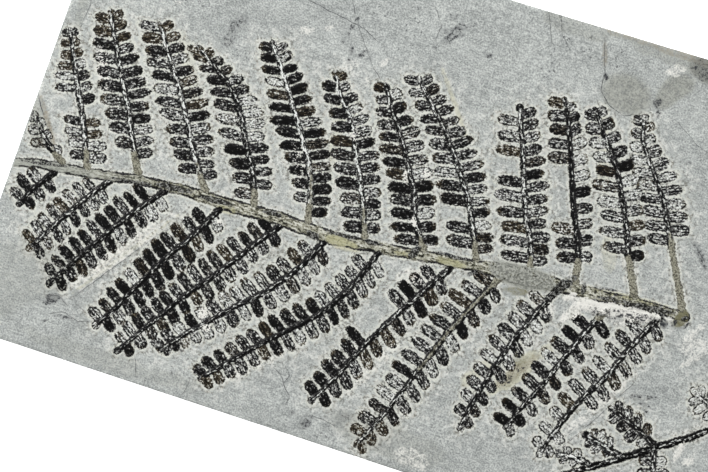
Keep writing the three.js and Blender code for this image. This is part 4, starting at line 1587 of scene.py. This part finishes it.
@dataclass(frozen=True)
class RachisSkin(PressedLeaf):
    """The altered skin of the rachis: thin, fibrous and khaki, with black film along its edges.

    The thick rachis tissue has turned to an olive clay skin, satin rather than glossy. Its fibres
    run lengthwise, and strips of black film are left along both edges.
    """

    name: str = "khaki rachis film"
    deep_fibre: str = "#2B2A23"
    dark_fibre: str = "#6C6B5B"
    fibre: str = "#999887"
    pale_fibre: str = "#BFBFB0"
    white_fibre: str = "#DCDCD2"
    flat: str = "#B7B590"
    coal_roughness: float = 0.55
    edge_strip: float = 0.42

    def _rib_over(self, sheet: Sheet, film: Socket, flake: Socket, crumb: Socket) -> Socket:
        """Adds the lengthwise fibres and the black edges.

        Args:
            sheet: The material being made.
            film: The colour of the film so far. It is not used here.
            flake: Noise of 1.2 mm.
            crumb: Noise of 0.55 mm.

        Returns:
            The colour.
        """
        rib = sheet.add("Attribute", output="Vector", attribute_name="rib")
        edge = sheet.add("Attribute", output="Fac", attribute_name="edge")
        stain = sheet.add("Attribute", output="Vector", attribute_name="stain")
        yellow = sheet.add("SeparateXYZ", {"Vector": stain}, output="Y")
        # Fibres about 0.4 mm wide and 2 mm long, as they break up.
        drawn = sheet.add("Mapping", {"Vector": rib, "Scale": (1.0, 0.2, 1.0)})
        fibre = self.grain(sheet, drawn, 0.42, 3.0)
        mixed = self._weigh(sheet, ((fibre, 0.42), (crumb, 0.33), (flake, 0.25)))
        colour = self.graded(sheet, mixed, (
            (0.28, 0.36, self.dark_fibre), (0.4, 0.48, self.fibre), (0.52, 0.62, self.pale_fibre),
            (0.64, 0.74, self.white_fibre)), self.deep_fibre)
        flat = sheet.add("Math", {0: crumb, 1: 0.5, 2: yellow}, operation="MULTIPLY_ADD")
        flat = sheet.add("MapRange", {"Value": flat, "From Min": 0.7, "From Max": 1.3,
                                      "To Max": 0.85})
        colour = sheet.add("Mix", {"Factor": flat, "A": colour, "B": linear(self.flat)},
                           data_type=COLOURS)
        look = sheet.add("Attribute", output="Vector", attribute_name="look")
        faint = sheet.add("SeparateXYZ", {"Vector": look}, output="X")
        worn = sheet.add("Math", {0: mixed, 1: 0.5, 2: faint}, operation="MULTIPLY_ADD")
        worn = sheet.add("MapRange", {"Value": worn, "From Min": 0.35, "From Max": 1.25,
                                      "To Max": 0.85})
        colour = sheet.add("Mix", {"Factor": worn, "A": colour, "B": linear(self.bare)},
                           data_type=COLOURS)
        # Black strips 7 mm long, along stretches of both edges.
        stretch = self.grain(sheet, sheet.add("Mapping", {"Vector": rib, "Scale": (0.5, 1.0, 1.0)}),
                             7.0)
        strip = sheet.add("MapRange", {"Value": edge, "From Min": -1.0, "From Max": -0.3,
                                       "To Min": 0.0, "To Max": self.edge_strip})
        strip = self._weigh(sheet, ((strip, 1.0), (mixed, 0.2), (flake, 0.2), (stretch, 0.45)))
        strip = sheet.add("MapRange", {"Value": strip, "From Min": 0.7, "From Max": 0.8})
        black = self.graded(sheet, mixed, ((0.45, 0.75, self.scuffed),), self.coal)
        return sheet.add("Mix", {"Factor": strip, "A": colour, "B": black}, data_type=COLOURS)


@dataclass(frozen=True)
class BlackRachisSkin(PressedLeaf):
    """A rachis that kept its coal: thick, blocky vitrain, black and bright, with white glints that
    are painted highlights.
    """

    name: str = "blocky rachis vitrain"
    cleat: float = 1.6
    coal_roughness: float = 0.36


# ---- Pieces ------------------------------------------------------------------------------------


def make_piece(name: str, node: str, points: Array, faces: list[list[int]] | Array,
               material: bpy.types.Material, channels: dict[str, Array]) -> bpy.types.Object:
    """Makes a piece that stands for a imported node.

    Args:
        name: The piece's name.
        node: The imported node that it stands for.
        points: Its vertices, in millimetres.
        faces: Its faces, as vertex numbers.
        material: Its material.
        channels: Values at each vertex for the material, one or three numbers each.

    Returns:
        The piece.
    """
    mesh = bpy.data.meshes.new(name)
    rows = faces.tolist() if isinstance(faces, np.ndarray) else faces
    mesh.from_pydata((points * MM).tolist(), [], rows)
    for label, values in channels.items():
        kind, key = ("FLOAT", "value") if values.ndim == 1 else ("FLOAT_VECTOR", "vector")
        layer = mesh.attributes.new(label, kind, "POINT")
        layer.data.foreach_set(key, np.ascontiguousarray(values, np.float32).ravel())
    mesh.shade_smooth()
    mesh.materials.append(material)
    piece = bpy.data.objects.new(name, mesh)
    bpy.context.scene.collection.objects.link(piece)
    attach(piece, "root")
    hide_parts(node)
    log.info("%s: %d faces", name, len(mesh.polygons))
    return piece


@dataclass
class FrondFace:
    """The frond and the clay it stands in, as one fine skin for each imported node.

    The skins meet edge to edge, because each cell of the map belongs to the nearest film. Their
    outer margin dips under the plate's own face.
    """

    bedding: Bedding
    film: FilmMap
    plane: float
    margin: float = 1.9
    dip_from: float = 1.25
    dip: float = 0.22
    thickness: float = 0.3
    fall: float = 0.36
    rim: float = 0.1

    def heights(self) -> Array:
        """The height of the face over the whole map.

        Returns:
            Heights above the bedding plane.
        """
        film = self.film
        near = film.edge < self.margin + 1.0
        x, y = film.x[near], film.y[near]
        edge, rise = film.edge[near], film.rise[near]
        inside = np.clip(-edge, 0.0, None)
        dome = self.thickness * (1.0 - np.exp(-inside / self.fall))
        wrinkle = 0.04 * film.grain.layered(x, y, 1.6, 2)
        on = ease(0.05, -0.2, edge)
        rim = self.rim * np.exp(-(((edge - 0.55) / 0.3) ** 2))
        total = self.bedding.height(x, y) + dome + on * (rise + wrinkle) + rim
        total = total - self.dip * ease(self.dip_from, self.margin, edge)
        heights = np.zeros(film.edge.shape)
        heights[near] = total
        return heights

    def build(self, finishes: dict[str, tuple[str, bpy.types.Material]]) -> list[bpy.types.Object]:
        """Builds the skins.

        Args:
            finishes: For each node, the record's slot and the material.

        Returns:
            One piece for each node.
        """
        film = self.film
        rough = 0.17 * film.grain.layered(film.x, film.y, 1.3, 2)
        film.edge = np.where(film.edge < film.far, film.edge + rough, film.edge)
        heights = self.heights()
        rows, columns = film.edge.shape
        corner = np.arange(rows * columns).reshape(rows, columns)
        cells = np.stack([corner[:-1, :-1], corner[:-1, 1:], corner[1:, 1:], corner[1:, :-1]], -1)
        cells = cells.reshape(-1, 4)
        edges = film.edge.ravel()[cells]
        kept = edges.max(axis=1) < self.margin
        cells, edges = cells[kept], edges[kept]
        owners = film.owner.ravel()[cells][np.arange(len(cells)), edges.argmin(axis=1)]
        pieces = []
        for number, node in enumerate(film.names):
            own = cells[owners == number]
            used, faces = np.unique(own, return_inverse=True)
            faces = faces.reshape(-1, 4)
            x, y = film.x.ravel()[used], film.y.ravel()[used]
            points = np.stack([x, y, self.plane + heights.ravel()[used]], axis=-1)
            stains = self.bedding.stains(x, y)
            channels = {name: values.reshape(-1, 3)[used] for name, values in film.channels.items()}
            channels["edge"] = film.edge.ravel()[used]
            channels |= stain_channels(stains)
            slot, material = finishes[node]
            pieces.append(make_piece(f"{node}_film", node, points, faces, material, channels))
        return pieces


def stain_channels(stains: Array) -> dict[str, Array]:
    """The stains, packed three to a channel.

    Args:
        stains: One column for each Stain.

    Returns:
        The channels by name.
    """
    return {"stain": stains[:, :3], "lamina": stains[:, 3:]}


@dataclass
class SawnPlate:
    """The plate: a split face, four sawn sides and a sawn underside, in one closed mesh."""

    bedding: Bedding
    film: FilmMap
    pitch: float = 0.64
    arris: float = 0.45
    saw_wander: float = 0.16
    sink: float = 0.4
    seed: int = 41

    def __post_init__(self) -> None:
        """Reads the plate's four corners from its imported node."""
        low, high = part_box(PLATE)
        self.bottom, self.plane = low[2] / MM, high[2] / MM
        corners = CadRelief(PLATE).points[:, :2]
        ways = ((-1, -1), (1, -1), (1, 1), (-1, 1))
        self.corners = [max(corners, key=lambda p, w=w: p @ np.array(w)) for w in ways]

    def _face_grid(self) -> tuple[Array, Array]:
        """The lattice of the face, squared to the plate's four sides.

        Returns:
            x and y, by row and column.
        """
        a, b, c, d = self.corners
        columns = int(np.hypot(*(b - a)) / self.pitch)
        rows = int(np.hypot(*(c - b)) / self.pitch)
        u = np.linspace(0.0, 1.0, columns)[None, :, None]
        v = np.linspace(0.0, 1.0, rows)[:, None, None]
        grid = (1 - v) * ((1 - u) * a + u * b) + v * ((1 - u) * d + u * c)
        return grid[..., 0], grid[..., 1]

    def _rim_distance(self, rows: int, columns: int) -> Array:
        """How far each point of the face is from its rim.

        Args:
            rows: The face's rows.
            columns: The face's columns.

        Returns:
            The distances.
        """
        row = np.minimum(np.arange(rows), np.arange(rows)[::-1])[:, None]
        column = np.minimum(np.arange(columns), np.arange(columns)[::-1])[None, :]
        return np.minimum(row, column) * self.pitch

    def build(self, material: bpy.types.Material) -> bpy.types.Object:
        """Builds the plate.

        Args:
            material: Its material.

        Returns:
            The piece.
        """
        x, y = self._face_grid()
        rows, columns = x.shape
        grain = Grain(self.seed)
        rim = self._rim_distance(rows, columns)
        edge = self.film.sample(self.film.edge, x, y)
        height = self.bedding.height(x, y) - self.sink * ease(1.5, 0.7, edge)
        chips = np.clip(grain.layered(x, y, 7.0, 3) - 0.18, 0.0, None) * 1.6
        fall = np.exp(-((rim / self.arris) ** 2)) * 0.3 + chips * np.exp(-rim / 0.9)
        z = self.plane + height - fall
        top = np.stack([x, y, z], axis=-1).reshape(-1, 3)
        number = np.arange(rows * columns).reshape(rows, columns)
        faces = np.stack([number[:-1, :-1], number[:-1, 1:], number[1:, 1:], number[1:, :-1]], -1)
        faces = faces.reshape(-1, 4).tolist()
        ring = np.concatenate([number[0, :-1], number[:-1, -1],
                               number[-1, :0:-1], number[:0:-1, 0]])
        walls, wall_faces = self._walls(top, ring, grain)
        points = np.vstack([top, walls])
        faces += wall_faces
        far = np.full(len(walls), self.film.far)
        channels = {"edge": np.concatenate([edge.ravel(), far])}
        channels |= stain_channels(self.bedding.stains(points[:, 0], points[:, 1]))
        channels["stain"][len(top):] = 0.0
        channels["lamina"][len(top):] = 0.0
        return make_piece("shale_plate", PLATE, points, faces, material, channels)

    def _walls(self, top: Array, ring: Array, grain: Grain) -> tuple[Array, list[list[int]]]:
        """The sawn sides, in courses from the face down, and the underside.

        Args:
            top: The face's points.
            ring: The numbers of its rim points, anticlockwise.
            grain: Noise for the saw marks and the laminae.

        Returns:
            The new points, and the faces.
        """
        middle = top.mean(axis=0)
        rim = top[ring]
        out = rim[:, :2] - middle[:2]
        out = np.sign(np.round(out / np.abs(out).max(axis=0), 2)) * (
            np.abs(out) > np.abs(out).max(axis=0) * 0.985)
        out = out / np.maximum(np.hypot(*out.T), 1.0)[:, None]
        count = len(ring)
        travel = np.arange(count) * self.pitch
        levels = np.array([0.05, 0.12, 0.22, 0.36, 0.5, 0.64, 0.78, 0.9, 0.97, 1.0])
        points, faces = [], []
        above = ring
        for step, level in enumerate(levels):
            z = rim[:, 2] + (self.bottom - rim[:, 2]) * level
            lamina = grain.layered(travel * 0.06, z, 1.3, 3)
            marks = grain.layered(travel, z * 0.25, 3.0, 3)
            bulge = self.saw_wander * (0.6 * lamina + 0.4 * marks) - 0.1
            bulge = bulge - 0.35 * (level == 1.0)
            ring_points = np.column_stack([rim[:, :2] + out * bulge[:, None], z])
            points.append(ring_points)
            below = len(top) + step * count + np.arange(count)
            quads = np.stack([above, below, np.roll(below, -1), np.roll(above, -1)], -1)
            faces += quads.tolist()
            above = below
        faces.append(above[::-1].tolist())
        return np.vstack(points), faces


@dataclass(frozen=True)
class Crack:
    """A hairline drawn in dull carbon grey: carbon where it is a thread of carbon, painted shade
    where it is an open crack.
    """

    course: tuple[tuple[float, float], ...]
    width: float = 0.3


CRACKS = (
    Crack(((-24, 39), (-21, 36.5), (-19, 34), (-17, 33)), 0.45),
    Crack(((-36, 56), (-31, 48), (-27, 43), (-24, 39)), 0.3),
    Crack(((-49, 52), (-40, 50.5), (-30, 49), (-25, 46.5)), 0.45),
    Crack(((84, 19), (86.5, 17), (89.5, 14)), 0.4),
    Crack(((70, 8), (72, 7.9), (74, 7.5)), 0.4),
    Crack(((-65, -65), (-63.4, -68), (-62, -72)), 0.45),
    Crack(((-65, -65), (-62, -62), (-60, -58)), 0.3),
    Crack(((-47.5, -73), (-46.8, -70), (-46.5, -67)), 0.3),
    Crack(((-21, -54), (-18.5, -57), (-19.5, -60), (-16.5, -63), (-17, -66)), 0.35),
    Crack(((-24, -56), (-20.5, -58), (-18, -61.5)), 0.3),
    Crack(((-9, -66.5), (-5, -66.2), (-0.5, -67.2)), 0.4),
    Crack(((-96, -57), (-92, -56), (-88, -58)), 0.3),
    Crack(((-93, -62), (-89, -60), (-84, -61.5), (-80, -60)), 0.3),
    Crack(((-86, -56.5), (-82, -58.5), (-78, -58)), 0.25),
    Crack(((21, 71), (23.5, 66), (25, 62)), 0.3),
    Crack(((24, 73.5), (27, 66), (31, 62)), 0.3),
    Crack(((39.3, 69.5), (41, 64), (43, 58.5)), 0.3),
    Crack(((95, -5), (95.4, -8)), 0.4),
    Crack(((43, 58.5), (43.2, 53.6), (47.1, 50.2), (52.2, 48.6), (56.3, 50.3)), 0.4),
    Crack(((68, 52), (76, 47), (83, 45)), 0.25),
    Crack(((-12, 62), (-8, 57), (-8.5, 52)), 0.3),
    Crack(((-88, 44), (-80, 46), (-70, 44)), 0.25),
    Crack(((-117, 0), (-111, -9), (-105, -18)), 0.5),
    Crack(((65, -53), (73, -40), (80.5, -26)), 0.28),
    Crack(((-87, -54.2), (-76.8, -39.8), (-66.5, -25.5)), 0.28),
    Crack(((100, 30), (96, 20), (99, 8)), 0.3),
    Crack(((88, -62), (98, -66), (110, -64)), 0.3),
    Crack(((104, -4), (108, 8), (106, 20)), 0.25),
    Crack(((-113.5, 38), (-110, 30), (-111, 22)), 0.3),
)


@dataclass
class Hairlines:
    """All the hairlines of the plate, as thin three-sided strips along the face."""

    bedding: Bedding
    plane: float
    spacing: float = 0.5
    wander: float = 0.35
    proud: float = 0.11
    seed: int = 63

    def build(self, material: bpy.types.Material) -> bpy.types.Object:
        """Builds the hairlines.

        Args:
            material: Their material.

        Returns:
            The piece.
        """
        grain = Grain(self.seed)
        points: list[Array] = []
        faces: list[list[int]] = []
        start = 0
        for number, crack in enumerate(CRACKS):
            strip = self._strip(crack, number, grain)
            points.append(strip)
            for k in range(0, len(strip) - 3, 3):
                a = start + k
                faces += [[a, a + 1, a + 4, a + 3], [a + 1, a + 2, a + 5, a + 4]]
                faces.append([a + 2, a, a + 3, a + 5])
            faces.append([start, start + 2, start + 1])
            last = start + len(strip) - 3
            faces.append([last, last + 1, last + 2])
            start += len(strip)
        mesh = bpy.data.meshes.new("hairlines")
        mesh.from_pydata((np.vstack(points) * MM).tolist(), [], faces)
        mesh.materials.append(material)
        piece = bpy.data.objects.new("hairlines", mesh)
        bpy.context.scene.collection.objects.link(piece)
        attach(piece, "root")
        log.info("hairlines: %d faces", len(mesh.polygons))
        return piece

    def _strip(self, crack: Crack, number: int, grain: Grain) -> Array:
        """The points of one hairline, three at each station.

        Args:
            crack: The hairline.
            number: Its number.
            grain: The noise that makes it wander.

        Returns:
            The points.
        """
        course = np.array(crack.course, float)
        steps = np.concatenate([[0.0], np.cumsum(np.hypot(*np.diff(course, axis=0).T))])
        stations = np.linspace(0.0, steps[-1], max(int(steps[-1] / self.spacing), 4))
        x = np.interp(stations, steps, course[:, 0])
        y = np.interp(stations, steps, course[:, 1])
        shift = self.wander * grain.layered(stations, stations * 0 + number * 7.3, 2.5, 3)
        way = np.stack([np.gradient(x), np.gradient(y)], -1)
        way = way / np.hypot(*way.T)[:, None]
        left = np.stack([-way[:, 1], way[:, 0]], -1)
        middle = np.stack([x, y], -1) + left * shift[:, None]
        ends = np.minimum(stations, stations[::-1] * 0 + steps[-1] - stations)
        thin = 0.25 + 0.75 * ease(0.0, 2.5, ends)
        thin = thin * (0.75 + 0.5 * grain.at(stations, stations * 0 + number * 3.1, 1.4))
        half = (crack.width / 2 * np.clip(thin, 0.2, None))[:, None]
        sides = [middle - left * half, middle, middle + left * half]
        heights = [-0.12, self.proud, -0.12]
        rows = []
        for side, lift in zip(sides, heights):
            z = self.plane + self.bedding.height(side[:, 0], side[:, 1]) + lift
            rows.append(np.column_stack([side, z]))
        return np.stack(rows, axis=1).reshape(-1, 3)


@dataclass(frozen=True)
class CrackCarbonAndShade:
    """Powdery carbon in a crack, and the painted shade of an open crack: dull, and not quite black.

    Carbon dust in a crack scatters light, so it is grey-black and has no shine.
    """

    name: str = "carbon in cracks"
    dark: str = "#3A3B3E"
    pale: str = "#77797A"
    ior: float = 1.6
    roughness: float = 0.8

    def material(self) -> bpy.types.Material:
        """Makes the finish.

        Returns:
            The material.
        """
        sheet = Sheet(self.name)
        place = sheet.add("TexCoord", output="Object")
        dust = sheet.add("TexNoise", {"Vector": place, "Scale": per_metre(1.2), "Detail": 3.0})
        share = sheet.add("MapRange", {"Value": dust, "From Min": 0.4, "From Max": 0.62})
        colour = sheet.add("Mix", {"Factor": share, "A": linear(self.dark),
                                   "B": linear(self.pale)}, data_type=COLOURS)
        surface = sheet.add("BsdfPrincipled", {"Base Color": colour, "IOR": self.ior,
                                               "Roughness": self.roughness})
        sheet.add("OutputMaterial", {"Surface": surface})
        return sheet.material


# ---- The studio --------------------------------------------------------------------------------


@dataclass(frozen=True)
class Lamp:
    """A soft box: where it stands round the plate, how high, how far, how large and how bright."""

    name: str
    bearing: float
    elevation: float
    distance: float
    size: float
    watts: float


@dataclass
class Studio:
    """A white floor, soft boxes and a camera straight above the plate."""

    turn: float = 18.3
    aim: tuple[float, float] = (-13.3, -11.1)
    field_width: float = 212.4
    lens: float = 200.0
    sensor: float = 36.0
    ambient: float = 0.05
    lamps: tuple[Lamp, ...] = (
        Lamp("key_softbox", 140.0, 34.0, 1.3, 0.45, 16.0),
        Lamp("fill_softbox", 20.0, 32.0, 1.4, 0.6, 8.2),
        Lamp("low_softbox", 260.0, 32.0, 1.4, 0.6, 7.6),
    )

    def build(self) -> None:
        """Builds the floor, the lights and the camera."""
        self._floor()
        self._lights()
        self._camera()

    def _floor(self) -> None:
        """Lays a matt white floor, lit evenly enough to hold no shadow."""
        half = 1.6
        mesh = bpy.data.meshes.new("floor")
        z = -0.0003
        mesh.from_pydata([(-half, -half, z), (half, -half, z), (half, half, z), (-half, half, z)],
                         [], [(0, 1, 2, 3)])
        sheet = Sheet("white floor")
        surface = sheet.add("BsdfPrincipled", {
            "Base Color": linear("#F2F2F2"), "Roughness": 0.9,
            "Emission Color": linear("#FFFFFF"), "Emission Strength": 0.9})
        sheet.add("OutputMaterial", {"Surface": surface})
        mesh.materials.append(sheet.material)
        floor = bpy.data.objects.new("floor", mesh)
        bpy.context.scene.collection.objects.link(floor)

    def _lights(self) -> None:
        """Hangs the soft boxes and sets the room's own light."""
        scene = bpy.context.scene
        world = bpy.data.worlds.new("studio room")
        world.use_nodes = True
        back = world.node_tree.nodes["Background"]
        back.inputs["Color"].default_value = (1.0, 1.0, 1.0, 1.0)
        back.inputs["Strength"].default_value = self.ambient
        scene.world = world
        for lamp in self.lamps:
            data = bpy.data.lights.new(lamp.name, "AREA")
            data.energy = lamp.watts
            data.size = lamp.size
            bearing, rise = math.radians(lamp.bearing), math.radians(lamp.elevation)
            holder = bpy.data.objects.new(lamp.name, data)
            holder.location = (lamp.distance * math.cos(rise) * math.cos(bearing),
                               lamp.distance * math.cos(rise) * math.sin(bearing),
                               lamp.distance * math.sin(rise))
            holder.rotation_euler = (math.pi / 2 - rise, 0.0, bearing + math.pi / 2)
            scene.collection.objects.link(holder)

    def _camera(self) -> None:
        """Stands the camera straight above the face, turned with the plate."""
        low, high = cad_box
        middle = (low + high) / 2
        data = bpy.data.cameras.new("overhead_camera")
        data.lens = self.lens
        data.sensor_width = self.sensor
        distance = self.field_width * self.lens / self.sensor
        camera = bpy.data.objects.new("overhead_camera", data)
        camera.location = (middle.x + self.aim[0] * MM, middle.y + self.aim[1] * MM,
                           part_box(PLATE)[1][2] + distance * MM)
        camera.rotation_euler = (0.0, 0.0, math.radians(self.turn))
        bpy.context.scene.collection.objects.link(camera)
        bpy.context.scene.camera = camera
        bpy.context.scene.view_settings.view_transform = "Standard"


# ---- The whole plate ---------------------------------------------------------------------------


@dataclass
class FernPlate:
    """The plate with its two fronds."""

    bedding: Bedding = field(default_factory=Bedding)
    map_inset: float = 0.4
    saw_cut: float = 0.35

    def build(self) -> None:
        """Builds every piece."""
        nodes = sorted(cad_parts)
        low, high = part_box(PLATE)
        film = FilmMap(np.array(low)[:2] / MM + self.map_inset,
                       np.array(high)[:2] / MM - self.map_inset)
        rachises = {name: Rachis.read(name) for name in (MAIN_RACHIS, SECOND_RACHIS)}
        RachisFilm(rachises[MAIN_RACHIS], edge_wander=0.45, ribbing=1.0, painted_glint=0.5,
                   faint_for=62.0).lay(film)
        RachisFilm(rachises[SECOND_RACHIS], edge_wander=0.7, ribbing=1.5, painted_glint=0.4,
                   faint_for=0.1).lay(film)
        number = 0
        for name in nodes:
            if "pinna" not in name:
                continue
            parent = SECOND_RACHIS if name.startswith("second") else MAIN_RACHIS
            pinna = Pinna.read(name, rachises[parent].middle, WEAR[name].bare, number)
            number += len(pinna.pinnules)
            PinnaFilm(pinna, WEAR[name], *SPREAD[name.split("_")[0]]).lay(film)
        log.info("map: %d pinnules", number)
        self._hold_within_plate(film)
        plane = high[2] / MM
        leaf = PressedLeaf().material()
        khaki = RachisSkin().material()
        black = BlackRachisSkin().material()
        finishes = {name: ("coal_film", leaf) for name in nodes}
        finishes[MAIN_RACHIS] = ("olive_film", khaki)
        finishes[SECOND_RACHIS] = ("coal_film", black)
        FrondFace(self.bedding, film, plane).build(finishes)
        SawnPlate(self.bedding, film).build(Shale().material())
        Hairlines(self.bedding, plane).build(CrackCarbonAndShade().material())

    def _hold_within_plate(self, film: FilmMap) -> None:
        """Ends the film at the plate's sides, where the saw cut through it.

        Args:
            film: The map.
        """
        corners = SawnPlate(self.bedding, film).corners
        outside = np.zeros(film.x.shape, bool)
        for start, end in zip(corners, corners[1:] + corners[:1]):
            way = (end - start) / np.hypot(*(end - start))
            inward = (film.y - start[1]) * way[0] - (film.x - start[0]) * way[1]
            outside |= inward < self.saw_cut
        film.edge[outside] = film.far


def main() -> None:
    """Builds the studio and the plate, and writes how large it came out."""
    Studio().build()
    FernPlate().build()


if __name__ == "__main__":
    logging.basicConfig(level=logging.INFO, format="%(name)s: %(message)s")
    main()
